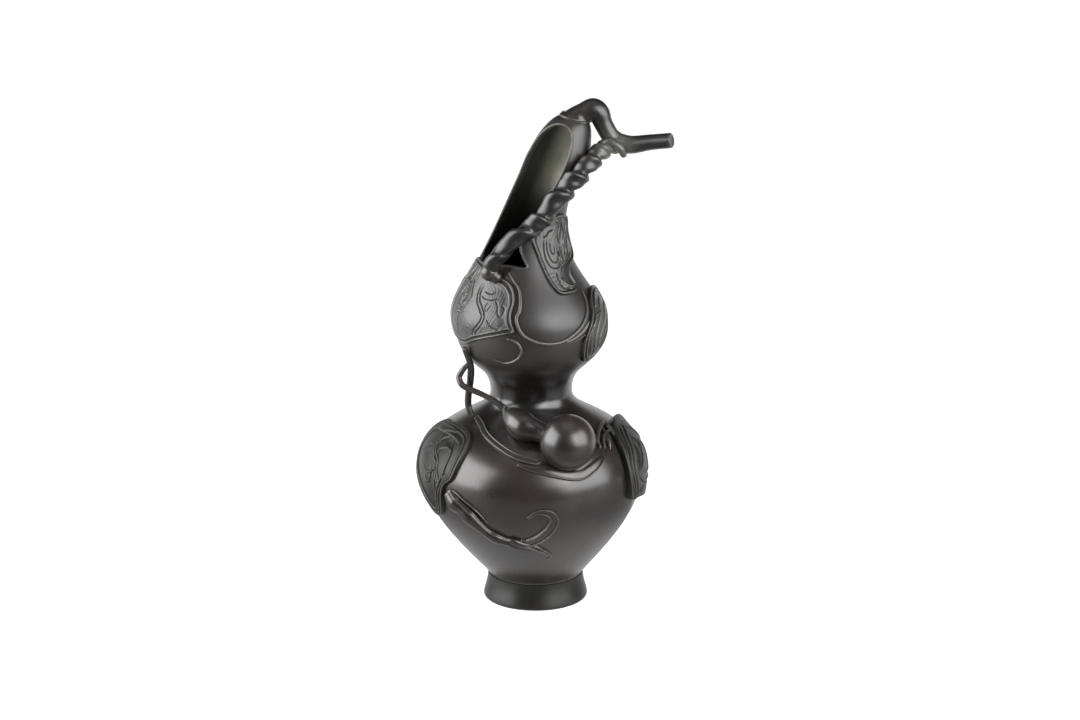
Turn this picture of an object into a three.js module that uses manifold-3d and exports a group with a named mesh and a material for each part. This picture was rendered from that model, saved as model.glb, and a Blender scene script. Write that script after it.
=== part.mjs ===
// Ikebana vase in the shape of a double gourd, cast in bronze.
// Two hollow gourd shells stand on a foot ring. The neck is cut open like a scoop, a twisted vine crosses
// the opening, and leaves, tendrils and a small gourd lie on the walls.
// Lengths are millimetres and angles are degrees. +Z is up, and azimuth -90 is the front of the vase.

import * as THREE from "three";
import { mergeVertices } from "three/addons/utils/BufferGeometryUtils.js";
import Module from "manifold-3d";

const wasm = await Module();
wasm.setup();

// Casting
const wall = 2.5;
const clearance = 0.3;

// Foot ring and the plate let into it
const footRadius = 28.9;
const footTaper = 2.5;
const footHeight = 14.2;
const footEdge = 1.2;
const footWall = 4.3;
const footLedgeWidth = 3.4;
const footLedgeHeight = 3.6;
const plateThickness = 2.2;

// Gourd body: the widest and narrowest rings, and how far each lies above the one before it
const bellyRadius = 61.5;
const bellyRise = 59;
const waistRadius = 22.4;
const waistRise = 45.5;
const bulbRadius = 40.8;
const bulbRise = 41.5;
const neckRadius = 16.1;
const neckRise = 77.5;
const headRadius = 16.5;
const headRise = 10;
const crownRadius = 8.3;
const crownRise = 21;
const neckLean = 20.4;
const crownTilt = 12.4;

// Mouth
const mouthAzimuth = -123.5;
const mouthHalfWidth = 12.9;
const mouthHeight = 74.2;
const mouthLipDrop = 45;
const mouthBackInset = 3;
const cutOverrun = 60;

// Stem, its collar and the cut branch
const collarRadius = 8.4;
const collarHeight = 2.4;
const stemRadius = 6;
const stemRise = 5;
const stemReach = 23.7;
const stemDrop = 17.7;
const branchRadius = 4.15;
const branchLength = 28;
const branchForward = 10;
const branchLift = 2.9;

// Twisted vine over the mouth
const vineRadius = 4.3;
const vineTwists = 3.3;
const bossRadius = 4.8;

// Leaves: half widths as shares of the bulb that each lies on, half heights and thickness
const shoulderLeafWidthShare = 0.77;
const shoulderLeafHalfHeight = 21.5;
const backLeafWidthShare = 0.343;
const backLeafHalfHeight = 14.5;
const neckLeafWidthShare = 0.404;
const neckLeafHalfHeight = 22.8;
const sideLeafWidthShare = 0.495;
const sideLeafHalfHeight = 17.8;
const bellyLeafWidthShare = 0.452;
const bellyLeafHalfHeight = 23.3;
const foldedLeafWidthShare = 0.524;
const foldedLeafHalfHeight = 19.8;
const thinLeaf = 1.6;
const mediumLeaf = 2.1;
const thickLeaf = 3.2;

// Tendrils, strands and the small gourd
const rimWidth = 2;
const rimHeight = 1.1;
const curlWidth = 1.7;
const curlHeight = 1;
const hookWidth = 4.2;
const hookHeight = 1.4;
const trailWidth = 7.6;
const trailHeight = 2.6;
const bandWidth = 5.4;
const bandHeight = 1.8;
const strandRadius = 1.9;
const stalkRadius = 1.7;
const ridgeWidth = 2.4;
const fruitRadius = 15;
const fruitNeckRadius = 7.8;
const fruitProud = 8;
const fruitNeckProud = 3.5;

// Mesh fineness, in counts
const shellSides = 40;
const leafSides = 24;
const tubeSides = 8;
const reliefSides = 6;
const vineSides = 10;
const mouthSteps = 3;
const lowerSteps = [8, 11];
const upperSteps = [7, 11, 2, 5];
const lowerInnerSteps = [5, 6];
const upperInnerSteps = [4, 6, 1, 2];

const bronze = new THREE.MeshStandardMaterial({ color: 0x2b2725, roughness: 0.38, metalness: 0.85 });
const greenBronze = new THREE.MeshStandardMaterial({ color: 0x34352b, roughness: 0.5, metalness: 0.75 });
const brownBronze = new THREE.MeshStandardMaterial({ color: 0x3b2c24, roughness: 0.36, metalness: 0.85 });

const jointHeight = footHeight + clearance;
const bellyHeight = jointHeight + bellyRise;
const waistHeight = bellyHeight + waistRise;
const bulbHeight = waistHeight + bulbRise;
const neckHeight = bulbHeight + neckRise;
const headHeight = neckHeight + headRise;
const crownHeight = headHeight + crownRise;
const footTopRadius = footRadius - footTaper;
const footBoreRadius = footRadius - footWall;
const jointRadius = footTopRadius - clearance;

const radians = THREE.MathUtils.degToRad;

// Profile of the gourd: each stretch leaves and reaches its rings upright, by these shares of its rise
const fullnessShares = {
  foot: [0.05, 0.41],
  waist: [0.69, 0.32],
  bulb: [0.47, 0.72],
  neck: [0.23, 0.65],
  head: [0.5, 0.5],
  crown: [0.16, 0.18],
};
const crownRoundingShare = 0.56;

function stretch(fromRadius, fromHeight, toRadius, toHeight, [leaveShare, reachShare], roundShare = 0) {
  const rise = toHeight - fromHeight;
  return new THREE.CubicBezierCurve(
    new THREE.Vector2(fromRadius, fromHeight),
    new THREE.Vector2(fromRadius, fromHeight + leaveShare * rise),
    new THREE.Vector2(toRadius + roundShare * (fromRadius - toRadius), toHeight - reachShare * rise),
    new THREE.Vector2(toRadius, toHeight),
  );
}

const lowerStretches = [
  stretch(jointRadius, jointHeight, bellyRadius, bellyHeight, fullnessShares.foot),
  stretch(bellyRadius, bellyHeight, waistRadius, waistHeight, fullnessShares.waist),
];
const upperStretches = [
  stretch(waistRadius, waistHeight, bulbRadius, bulbHeight, fullnessShares.bulb),
  stretch(bulbRadius, bulbHeight, neckRadius, neckHeight, fullnessShares.neck),
  stretch(neckRadius, neckHeight, headRadius, headHeight, fullnessShares.head),
  stretch(headRadius, headHeight, crownRadius, crownHeight, fullnessShares.crown, crownRoundingShare),
];

const profileSamples = 200;
const profile = [...lowerStretches, ...upperStretches].flatMap((part) => part.getPoints(profileSamples));

function radiusAt(height) {
  const above = profile.findIndex((point) => point.y >= height);
  if (above <= 0) return above === 0 ? profile[0].x : crownRadius;
  const [low, high] = [profile[above - 1], profile[above]];
  return THREE.MathUtils.mapLinear(height, low.y, high.y, low.x, high.x);
}

// The casting leans a little to the left, and its neck swings to the right
const leanShares = [
  [0, 0], [0.054, 0], [0.273, -0.108], [0.442, -0.113], [0.597, -0.176], [0.706, -0.255],
  [0.781, -0.142], [0.855, 0.167], [0.929, 0.608], [0.967, 0.804], [1, 1],
];
const leanCurve = new THREE.SplineCurve(
  leanShares.map(([heightShare, share]) => new THREE.Vector2(heightShare * crownHeight, share * neckLean)),
);
const leanPoints = leanCurve.getPoints(profileSamples);

function leanAt(height) {
  const above = leanPoints.findIndex((point) => point.x >= height);
  if (above <= 0) return above === 0 ? 0 : neckLean;
  const [low, high] = [leanPoints[above - 1], leanPoints[above]];
  return THREE.MathUtils.mapLinear(height, low.x, high.x, low.y, high.y);
}

// Towards the crown the rings also tilt, so that the stem's seat faces up and to the right
function leanInto(point) {
  const tilt = Math.tan(radians(crownTilt)) * THREE.MathUtils.smoothstep(point.z, neckHeight, crownHeight);
  const height = point.z;
  point.z -= point.x * tilt;
  point.x += leanAt(height);
  return point;
}

function uprightPoint(azimuth, radius, height) {
  const angle = radians(azimuth);
  return new THREE.Vector3(radius * Math.cos(angle), radius * Math.sin(angle), height);
}

const slopeSampleShare = 0.0005;
const sameCorner = 0.0005;

function wallNormal(height) {
  const step = slopeSampleShare * crownHeight;
  const slope = (radiusAt(height + step) - radiusAt(height - step)) / (2 * step);
  return new THREE.Vector2(1, -slope).normalize();
}

// A point at this azimuth and height, lifted off the wall along its normal
function wallPoint(azimuth, height, lift = 0) {
  const normal = wallNormal(height);
  return leanInto(uprightPoint(azimuth, radiusAt(height) + lift * normal.x, height + lift * normal.y));
}

const lowerLevel = (share) => THREE.MathUtils.lerp(jointHeight, waistHeight, share);
const upperLevel = (share) => THREE.MathUtils.lerp(waistHeight, neckHeight, share);

// Closed bodies

function signedVolume(geometry) {
  const position = geometry.getAttribute("position");
  const corners = [new THREE.Vector3(), new THREE.Vector3(), new THREE.Vector3()];
  let volume = 0;
  for (let i = 0; i < geometry.index.count; i += 3) {
    corners.forEach((corner, k) => corner.fromBufferAttribute(position, geometry.index.getX(i + k)));
    volume += corners[0].dot(corners[1].cross(corners[2])) / 6;
  }
  return volume;
}

// Merges shared corners, drops the empty triangles at poles and turns the faces outwards
function closedBody(geometry) {
  const plain = new THREE.BufferGeometry();
  plain.setAttribute("position", geometry.getAttribute("position"));
  if (geometry.index) plain.setIndex(geometry.index);
  const merged = mergeVertices(plain, sameCorner);
  const kept = [];
  for (let i = 0; i < merged.index.count; i += 3) {
    const [a, b, c] = [0, 1, 2].map((k) => merged.index.getX(i + k));
    if (a !== b && b !== c && c !== a) kept.push([a, b, c]);
  }
  merged.setIndex(kept.flat());
  if (signedVolume(merged) < 0) merged.setIndex(kept.flatMap(([a, b, c]) => [a, c, b]));
  return merged;
}

function solidOf(geometry) {
  const body = closedBody(geometry);
  const vertProperties = new Float32Array(body.getAttribute("position").array);
  const triVerts = new Uint32Array(body.index.array);
  return new wasm.Manifold(new wasm.Mesh({ numProp: 3, vertProperties, triVerts }));
}

function geometryOf(solid) {
  const mesh = solid.getMesh();
  const geometry = new THREE.BufferGeometry();
  geometry.setAttribute("position", new THREE.BufferAttribute(mesh.vertProperties, mesh.numProp));
  geometry.setIndex([...mesh.triVerts]);
  return geometry;
}

function moveEach(geometry, move) {
  const position = geometry.getAttribute("position");
  const point = new THREE.Vector3();
  for (let i = 0; i < position.count; i += 1) {
    point.fromBufferAttribute(position, i);
    move(point, i);
    position.setXYZ(i, point.x, point.y, point.z);
  }
  return geometry;
}

function lathe(outline, sides) {
  return new THREE.LatheGeometry(outline, sides).rotateX(Math.PI / 2);
}

function gourdShell(outline, sides) {
  return moveEach(lathe(outline, sides), leanInto);
}

const at = (radius, height) => new THREE.Vector2(radius, height);

function wallOutline(stretches, steps) {
  return stretches.flatMap((part, i) => part.getPoints(steps[i]).slice(i === 0 ? 0 : 1));
}

function innerOutline(outline) {
  return outline.map((point) => {
    const normal = wallNormal(point.y);
    return at(point.x - wall * normal.x, point.y - wall * normal.y);
  });
}

// Foot

function footRing() {
  const ledgeRadius = footBoreRadius - footLedgeWidth;
  const outline = [
    at(footBoreRadius, 0),
    at(footRadius - footEdge, 0),
    at(footRadius, footEdge),
    at(footTopRadius, footHeight),
    at(ledgeRadius, footHeight),
    at(ledgeRadius, footHeight - footLedgeHeight),
    at(footBoreRadius, footHeight - footLedgeHeight),
    at(footBoreRadius, 0),
  ];
  return lathe(outline, shellSides);
}

function basePlate() {
  const plate = new THREE.CylinderGeometry(
    footBoreRadius - clearance,
    footBoreRadius - clearance,
    plateThickness,
    shellSides,
  );
  const middle = footHeight - footLedgeHeight - clearance - plateThickness / 2;
  return plate.rotateX(Math.PI / 2).translate(0, 0, middle);
}

// Gourd shells

function lowerGourd() {
  const outer = wallOutline(lowerStretches, lowerSteps);
  const inner = innerOutline(wallOutline(lowerStretches, lowerInnerSteps));
  inner[0].set(inner[0].x, jointHeight);
  inner[inner.length - 1].set(waistRadius - wall, waistHeight);
  return gourdShell([...outer, ...inner.reverse(), outer[0]], shellSides);
}

function upperGourdShell() {
  const outer = wallOutline(upperStretches, upperSteps);
  const inner = innerOutline(wallOutline(upperStretches, upperInnerSteps));
  outer[0].setY(waistHeight + clearance);
  inner[0].set(waistRadius - wall, waistHeight + clearance);
  const ceiling = inner[inner.length - 1].y;
  const outline = [...outer, at(0, crownHeight), at(0, ceiling), ...inner.reverse(), outer[0]];
  return gourdShell(outline, shellSides);
}

// Half widths of the mouth at heights above its lip, on the side of the stem and on the open side
const mouthShares = [
  [1.12, 0], [0.86, 0.07], [0.64, 0.14], [0.72, 0.26], [0.86, 0.38], [0.95, 0.54], [1, 0.68],
  [0.93, 0.8], [0.7, 0.92], [0.3, 0.99], [-0.3, 1], [-0.78, 0.92], [-1, 0.78], [-1, 0.5],
  [-1.06, 0.3], [-1.22, 0.14], [-1.4, 0.02], [-0.5, -0.006], [0.4, 0.006],
];

// The cutter starts just in front of the neck's own axis, all the way up
function mouthCutter() {
  const facing = radians(mouthAzimuth);
  const forward = new THREE.Vector3(Math.cos(facing), Math.sin(facing), 0);
  const sideways = new THREE.Vector3(-Math.sin(facing), Math.cos(facing), 0);
  const lipHeight = neckHeight - mouthLipDrop;
  const corners = mouthShares.map(([widthShare, heightShare]) => {
    const height = lipHeight + heightShare * mouthHeight;
    return new THREE.Vector2(leanAt(height) * sideways.x + widthShare * mouthHalfWidth, height);
  });
  const outline = new THREE.Shape();
  outline.moveTo(corners[0].x, corners[0].y);
  outline.splineThru([...corners.slice(1), corners[0]]);
  const cutter = new THREE.ExtrudeGeometry(outline, {
    depth: cutOverrun,
    curveSegments: mouthSteps,
    bevelEnabled: false,
  });
  moveEach(cutter, (point) => {
    point.z += mouthBackInset + leanAt(point.y) * forward.x;
  });
  return cutter.applyMatrix4(new THREE.Matrix4().makeBasis(sideways, new THREE.Vector3(0, 0, 1), forward));
}

function upperGourd() {
  return geometryOf(solidOf(upperGourdShell()).subtract(solidOf(mouthCutter())));
}

// Everything inside this body lies closer to the outer wall than the given gap
function wallEnvelope(gap) {
  const bare = wallOutline([...lowerStretches, ...upperStretches], [...lowerSteps, ...upperSteps]);
  const outer = bare.map((point) => {
    const normal = wallNormal(point.y);
    return at(point.x + gap * normal.x, point.y + gap * normal.y);
  });
  const [low, high] = [outer[0], outer[outer.length - 1]];
  return gourdShell([at(0, low.y), ...outer, at(0, high.y)], shellSides);
}

// Tubes: a unit cylinder is bent along a route, with its own radii and section at each step

function bendAlong(stations, sides) {
  const steps = stations.length - 1;
  const tube = new THREE.CylinderGeometry(1, 1, 1, sides, steps);
  return moveEach(tube, (point) => {
    const station = stations[Math.round((point.y + 0.5) * steps)];
    const angle = Math.atan2(point.z, point.x);
    const reach = Math.hypot(point.x, point.z) * station.bulge(angle);
    point
      .copy(station.centre)
      .addScaledVector(station.across, reach * Math.cos(angle) * station.halfWidth)
      .addScaledVector(station.up, reach * Math.sin(angle) * station.halfHeight);
  });
}

const plainSection = () => 1;

// Steps along a curve, each with a frame carried on from the one before
function framesAlong(curve, steps) {
  const upward = new THREE.Vector3(0, 0, 1);
  let across = upward.clone().cross(curve.getTangent(0)).normalize();
  return Array.from({ length: steps + 1 }, (_, i) => {
    const tangent = curve.getTangent(i / steps);
    across = across.clone().addScaledVector(tangent, -across.dot(tangent)).normalize();
    return { centre: curve.getPoint(i / steps), across, up: tangent.clone().cross(across) };
  });
}

function sizesAlong(shares, steps) {
  const curve = new THREE.SplineCurve(shares.map((share, i) => at(i, share)));
  return Array.from({ length: steps + 1 }, (_, i) => curve.getPoint(i / steps).y);
}

function limb(points, radiusShares, radius, steps, bulgeAt = () => plainSection, sides = tubeSides) {
  const curve = new THREE.CatmullRomCurve3(points, false, "centripetal");
  const sizes = sizesAlong(radiusShares, steps);
  const stations = framesAlong(curve, steps).map((frame, i) => ({
    ...frame,
    halfWidth: radius * sizes[i],
    halfHeight: radius * sizes[i],
    bulge: bulgeAt(i / steps),
  }));
  return bendAlong(stations, sides);
}

// A strand that lies on the wall, resting at the clearance and narrowing by its width shares
function wallStrand(route, level, width, height, widthShares, steps) {
  const path = new THREE.CatmullRomCurve3(
    route.map(([azimuth, share]) => new THREE.Vector3(azimuth, level(share), 0)),
    false,
    "centripetal",
  );
  const sizes = sizesAlong(widthShares, steps);
  const spots = Array.from({ length: steps + 1 }, (_, i) => path.getPoint(i / steps));
  const feet = spots.map((spot) => wallPoint(spot.x, spot.y));
  const stations = spots.map((spot, i) => {
    const halfHeight = (sizes[i] * height) / 2;
    const centre = wallPoint(spot.x, spot.y, clearance + halfHeight);
    const up = centre.clone().sub(feet[i]).normalize();
    const along = feet[Math.min(i + 1, steps)].clone().sub(feet[Math.max(i - 1, 0)]).normalize();
    const across = along.cross(up).normalize();
    return { centre, across, up, halfWidth: (sizes[i] * width) / 2, halfHeight, bulge: plainSection };
  });
  return bendAlong(stations, reliefSides);
}

function offTheWall(geometry) {
  return solidOf(geometry).subtract(solidOf(wallEnvelope(clearance)));
}

// Leaves: a sphere is pressed onto the wall and seated on it, its rim follows the outline and its top has a
// raised border. Each ring has its spread and its lift over the seat, in leaf thicknesses.
const leafRingShares = [
  [0, 0.8], [0.4, 0.74], [0.74, 0.62], [0.86, 0.6], [0.94, 1], [1, 0.4], [0.98, -0.8], [0.5, -0.8], [0, -0.8],
];

function leafOnWall(leaf) {
  const outline = new THREE.CatmullRomCurve3(
    leaf.outlineShares.map(([x, y]) => new THREE.Vector3(x * leaf.halfWidth, y * leaf.halfHeight, 0)),
    true,
  ).getSpacedPoints(leafSides);
  const bands = leafRingShares.length - 1;
  const middle = leaf.level(leaf.levelShare);
  const body = new THREE.SphereGeometry(1, leafSides, bands);
  const places = body.getAttribute("uv");
  moveEach(body, (point, i) => {
    const side = (Math.round(places.getX(i) * leafSides) + leafSides) % leafSides;
    const [spread, liftShare] = leafRingShares[Math.round((1 - places.getY(i)) * bands)];
    const height = middle + spread * outline[side].y;
    const turn = THREE.MathUtils.radToDeg((spread * outline[side].x) / radiusAt(height));
    point.copy(wallPoint(leaf.azimuth + turn, height, clearance + liftShare * leaf.thickness));
  });
  return geometryOf(offTheWall(body));
}

const shoulderLeaf = {
  azimuth: -144,
  level: upperLevel,
  levelShare: 0.45,
  halfWidth: shoulderLeafWidthShare * bulbRadius,
  halfHeight: shoulderLeafHalfHeight,
  thickness: thinLeaf,
  outlineShares: [
    [-0.39, 1], [-0.08, 0.98], [0.18, 0.86], [0.41, 0.73], [0.6, 0.64], [0.76, 0.45], [0.86, 0.19],
    [0.89, -0.08], [0.93, -0.25], [1, -0.49], [0.82, -0.58], [0.51, -0.71], [0.22, -0.85], [-0.04, -1],
    [-0.38, -0.93], [-0.6, -0.74], [-0.7, -0.44], [-0.71, -0.02], [-0.6, 0.44], [-0.5, 0.81],
  ],
};

const backLeaf = {
  azimuth: 166,
  level: upperLevel,
  levelShare: 0.4,
  halfWidth: backLeafWidthShare * bulbRadius,
  halfHeight: backLeafHalfHeight,
  thickness: thinLeaf,
  outlineShares: [
    [0.55, 0.8], [0.68, 0.17], [0.74, -0.42], [0.55, -0.9], [0.05, -1], [-0.61, -0.72], [-1, -0.1],
    [-0.79, 0.59], [-0.35, 1], [0.2, 0.98],
  ],
};

const sideLeaf = {
  azimuth: -17,
  level: upperLevel,
  levelShare: 0.346,
  halfWidth: sideLeafWidthShare * bulbRadius,
  halfHeight: sideLeafHalfHeight,
  thickness: mediumLeaf,
  outlineShares: [
    [0.13, 1], [-0.32, 0.78], [-0.52, 0.48], [-0.79, 0.12], [-0.98, -0.23], [-1, -0.58], [-0.83, -0.99],
    [-0.5, -0.98], [-0.2, -0.8], [0.17, -0.6], [0.58, -0.35], [0.88, 0.04], [0.98, 0.49], [0.7, 0.89],
  ],
};

const neckLeaf = {
  azimuth: -40,
  level: upperLevel,
  levelShare: 0.691,
  halfWidth: neckLeafWidthShare * bulbRadius,
  halfHeight: neckLeafHalfHeight,
  thickness: thinLeaf,
  outlineShares: [
    [-0.47, 0.69], [-0.77, 0.5], [-0.98, 0.3], [-0.93, 0.08], [-0.87, -0.12], [-0.83, -0.38],
    [-0.79, -0.65], [-0.72, -0.87], [-0.6, -0.97], [-0.3, -1], [0.08, -0.97], [0.22, -0.83], [0.17, -0.6],
    [0.28, -0.44], [0.62, -0.36], [0.9, -0.24], [1, -0.06], [0.84, 0.15], [0.62, 0.38], [0.5, 0.62],
    [0.26, 0.77], [-0.12, 0.8],
  ],
};

const bellyLeaf = {
  azimuth: -159,
  level: lowerLevel,
  levelShare: 0.625,
  halfWidth: bellyLeafWidthShare * bellyRadius,
  halfHeight: bellyLeafHalfHeight,
  thickness: mediumLeaf,
  outlineShares: [
    [-0.25, 0.97], [0.2, 1], [0.72, 0.89], [0.96, 0.56], [0.98, 0.06], [0.8, -0.14], [0.7, -0.53],
    [0.51, -0.91], [0.22, -1], [-0.07, -0.76], [-0.42, -0.46], [-0.81, -0.12], [-1, 0.27], [-0.92, 0.65],
    [-0.59, 0.91],
  ],
};

const foldedLeaf = {
  azimuth: -5,
  level: lowerLevel,
  levelShare: 0.648,
  halfWidth: foldedLeafWidthShare * bellyRadius,
  halfHeight: foldedLeafHalfHeight,
  thickness: thickLeaf,
  outlineShares: [
    [0.37, 0.92], [-0.06, 1], [-0.36, 0.95], [-0.66, 0.7], [-0.85, 0.36], [-0.95, -0.11], [-0.93, -0.57],
    [-0.87, -0.8], [-0.6, -0.86], [-0.1, -0.99], [0.29, -0.87], [0.7, -0.46], [0.94, 0.04], [0.9, 0.49],
    [0.63, 0.8],
  ],
};

// Stem, cut branch and vine

const crownCentre = leanInto(new THREE.Vector3(0, 0, crownHeight));

function collar() {
  const lip = collarHeight / 3;
  const outline = [
    at(0, clearance),
    at(collarRadius - lip, clearance),
    at(collarRadius, clearance + lip),
    at(collarRadius - lip, clearance + 2 * lip),
    at(collarRadius - lip, clearance + collarHeight),
    at(0, clearance + collarHeight),
  ];
  return lathe(outline, 2 * tubeSides)
    .rotateY(radians(crownTilt))
    .translate(crownCentre.x, crownCentre.y, crownCentre.z);
}

// The stem rises, bends over and comes down: shares of its reach with shares of its rise, then of its drop
const stemRiseShares = [[0.015, 0.1], [0.266, 0.7], [0.443, 1]];
const stemDropShares = [[0.565, 0.113], [0.654, 0.384], [0.734, 0.593], [0.83, 0.8], [1, 1]];
const stemRadiusShares = [0.98, 1.02, 1.05, 0.98, 0.86, 0.82, 0.82, 0.78];
const branchReachShares = [0, 0.22, 0.6, 1];
const branchForwardShares = [0, 0.15, 0.55, 1];
const branchLiftShares = [0, -0.35, 0.35, 1];
const branchRadiusShares = [1.12, 1.05, 1, 1];
const stemSteps = 18;
const branchSteps = 6;

const stemTop = crownCentre.z + stemRise;
const stemPoints = [
  ...stemRiseShares.map(([reach, rise]) => [reach, crownCentre.z + rise * stemRise]),
  ...stemDropShares.map(([reach, drop]) => [reach, stemTop - drop * stemDrop]),
].map(([reach, z]) => new THREE.Vector3(crownCentre.x + reach * stemReach, 0, z));
const junction = stemPoints[stemPoints.length - 1];
const branchPoints = branchReachShares.map((reach, i) => new THREE.Vector3(
  junction.x + reach * branchLength,
  junction.y - branchForwardShares[i] * branchForward,
  junction.z + branchLiftShares[i] * branchLift,
));

const grownShares = (shares, radius, gap) => shares.map((share) => share + gap / radius);

function stemLimb(gap = 0) {
  return solidOf(limb(stemPoints, grownShares(stemRadiusShares, stemRadius, gap), stemRadius, stemSteps));
}

function branchLimb(gap = 0) {
  const shares = grownShares(branchRadiusShares, branchRadius, gap);
  return solidOf(limb(branchPoints, shares, branchRadius, branchSteps));
}

function stem() {
  return geometryOf(stemLimb().add(solidOf(collar())).subtract(solidOf(wallEnvelope(clearance))));
}

function cutBranch() {
  return geometryOf(branchLimb().subtract(stemLimb(clearance)));
}

// Azimuth, level and distance off the wall in vine radii, from the branch down to the boss
const vineShares = [
  [-12, 1.131, 1.82], [-23, 1.11, 1.34], [-38, 1.072, 1.22], [-51, 1.02, 1.3], [-61, 0.97, 1.36],
  [-70, 0.928, 1.42], [-75, 0.876, 1.5], [-85, 0.833, 1.6], [-95, 0.799, 1.7], [-106, 0.76, 1.9],
  [-113, 0.72, 2], [-120, 0.679, 2], [-125, 0.635, 1.75],
];
const vineRadiusShares = [0.9, 0.95, 0.94, 0.98, 1.05, 1.02, 1, 1, 1, 0.95, 0.88, 0.78];
const vineTwistShare = 0.19;
const vineKnotShare = 0.06;
const vineSteps = 48;

function aroundNeck([azimuth, levelShare, standShare]) {
  const height = upperLevel(levelShare);
  const point = uprightPoint(azimuth, radiusAt(height) + standShare * vineRadius, height);
  point.x += leanAt(height);
  return point;
}

// Two strands twisted together, with knots along them
function vineSection(share) {
  const turn = 2 * Math.PI * vineTwists * share;
  return (angle) => 1 + vineTwistShare * Math.cos(2 * (angle - turn)) + vineKnotShare * Math.sin(2 * turn);
}

const bossAzimuth = -127.4;
const bossLevelShare = 0.586;

function bossBall(gap = 0) {
  const stand = 2 * clearance + thinLeaf + (2 * bossRadius) / 3;
  const centre = wallPoint(bossAzimuth, upperLevel(bossLevelShare), stand);
  return solidOf(new THREE.SphereGeometry(bossRadius + gap, 2 * tubeSides, tubeSides)
    .translate(centre.x, centre.y, centre.z));
}

function vineBoss() {
  return geometryOf(bossBall().subtract(solidOf(wallEnvelope(2 * clearance + thinLeaf))));
}

function handleVine() {
  const start = junction.clone().add(new THREE.Vector3(-vineRadius / 3, 0, -vineRadius / 3));
  const points = [start, ...vineShares.map(aroundNeck)];
  const vine = limb(points, vineRadiusShares, vineRadius, vineSteps, vineSection, vineSides);
  return geometryOf(solidOf(vine)
    .subtract(stemLimb(clearance))
    .subtract(branchLimb(clearance))
    .subtract(bossBall(clearance)));
}

// Raised lines and tendrils, as azimuth and level

const panelRimShares = [
  [-109, 0.6], [-103, 0.573], [-96.3, 0.534], [-95.2, 0.486], [-96.1, 0.45], [-98.6, 0.422],
  [-97.8, 0.389], [-94.2, 0.351], [-87.7, 0.325], [-79.8, 0.309], [-70.8, 0.305], [-61.8, 0.314],
  [-51, 0.347], [-41.5, 0.39], [-36.5, 0.42], [-31.5, 0.46], [-29, 0.5],
];
const panelWebShares = [[-54, 0.315], [-50, 0.318], [-46.5, 0.325]];
const upperCurlShares = [
  [-108, 0.319], [-104, 0.326], [-100.4, 0.327], [-97.4, 0.305], [-96.6, 0.28], [-97.3, 0.255],
  [-102.3, 0.215], [-111.3, 0.209], [-119.4, 0.222],
];
const trailingVineShares = [
  [-134.5, 0.545], [-129, 0.51], [-122.7, 0.466], [-118.2, 0.415], [-113, 0.355], [-105.3, 0.332],
  [-98.7, 0.317], [-91.9, 0.299], [-86, 0.27], [-79.4, 0.232],
];
const lowerCurlShares = [
  [-92, 0.342], [-87, 0.352], [-82.7, 0.385], [-80.1, 0.421], [-78.2, 0.465], [-80.3, 0.504],
  [-85.8, 0.518], [-92.3, 0.49],
];
const shoulderRidgeShares = [
  [-152, 0.888], [-146, 0.883], [-136, 0.87], [-127, 0.85], [-112, 0.814], [-98.4, 0.779],
  [-92, 0.766], [-88, 0.762],
];
const shoulderBandShares = [
  [-97, 0.749], [-91, 0.737], [-83, 0.724], [-77.5, 0.714], [-69.6, 0.696], [-62.9, 0.69],
  [-56.1, 0.71], [-49, 0.736], [-45.5, 0.75],
];
const knotLoopShares = [
  [-44, 0.783], [-44, 0.806], [-41, 0.836], [-35, 0.857], [-28, 0.864], [-20, 0.866],
];

const evenWidthShares = [0.7, 1, 1, 1, 0.7];
const taperWidthShares = [1, 1, 0.9, 0.75, 0.25];
const trailWidthShares = [0.9, 1, 0.95, 0.75, 0.6, 0.5, 0.2];
const bandWidthShares = [0.35, 0.7, 1, 1, 1, 0.85, 0.45];

// The strand and the stalk that hang free between the two gourds: azimuth, level and distance from the axis
const strandShares = [
  [-147, 0.245, 1.02], [-149, 0.158, 0.92], [-152, 0.077, 0.91], [-154, 0.032, 0.92],
  [-156, -0.032, 0.92], [-155, -0.06, 0.91], [-154, -0.085, 0.89],
];
const stalkShares = [
  [-149, 0.172, 0.93], [-150.5, 0.142, 1.02], [-152, 0.106, 1.07], [-149, 0.075, 1.06], [-144, 0.054, 0.97],
  [-136, 0.034, 0.88], [-126, 0.01, 0.82], [-117, -0.018, 0.8],
];
const fruitTipShares = [[-115, -0.025, 0.8], [-109, -0.042, 0.84]];
const strandRadiusShares = [0.8, 1, 1, 1, 0.95, 0.85];
const stalkRadiusShares = [0.75, 0.95, 1, 0.95, 0.9, 1.1];
const fruitRadiusShares = [0.26, 0.5, 1, 0.56, 0.7];
const fruitBendShare = 0.38;
const strandSteps = 14;
const stalkSteps = 16;
const fruitSteps = 14;
const fruitSides = 20;

function airPoint([azimuth, levelShare, radiusShare]) {
  const height = upperLevel(levelShare);
  const point = uprightPoint(azimuth, radiusShare * bulbRadius, height);
  point.x += leanAt(height);
  return point;
}

function hangingStrand(gap = 0) {
  const shares = grownShares(strandRadiusShares, strandRadius, gap);
  return offTheWall(limb(strandShares.map(airPoint), shares, strandRadius, strandSteps));
}

function gourdStalk() {
  const stalk = limb(stalkShares.map(airPoint), stalkRadiusShares, stalkRadius, stalkSteps);
  return geometryOf(solidOf(stalk).subtract(hangingStrand(clearance)));
}

const fruitNeckAzimuth = -96.7;
const fruitNeckLevelShare = 0.877;
const fruitAzimuth = -68.8;
const fruitLevelShare = 0.798;
const fruitNeckCentre = wallPoint(fruitNeckAzimuth, lowerLevel(fruitNeckLevelShare), fruitNeckProud);
const fruitCentre = wallPoint(fruitAzimuth, lowerLevel(fruitLevelShare), fruitProud);

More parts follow.
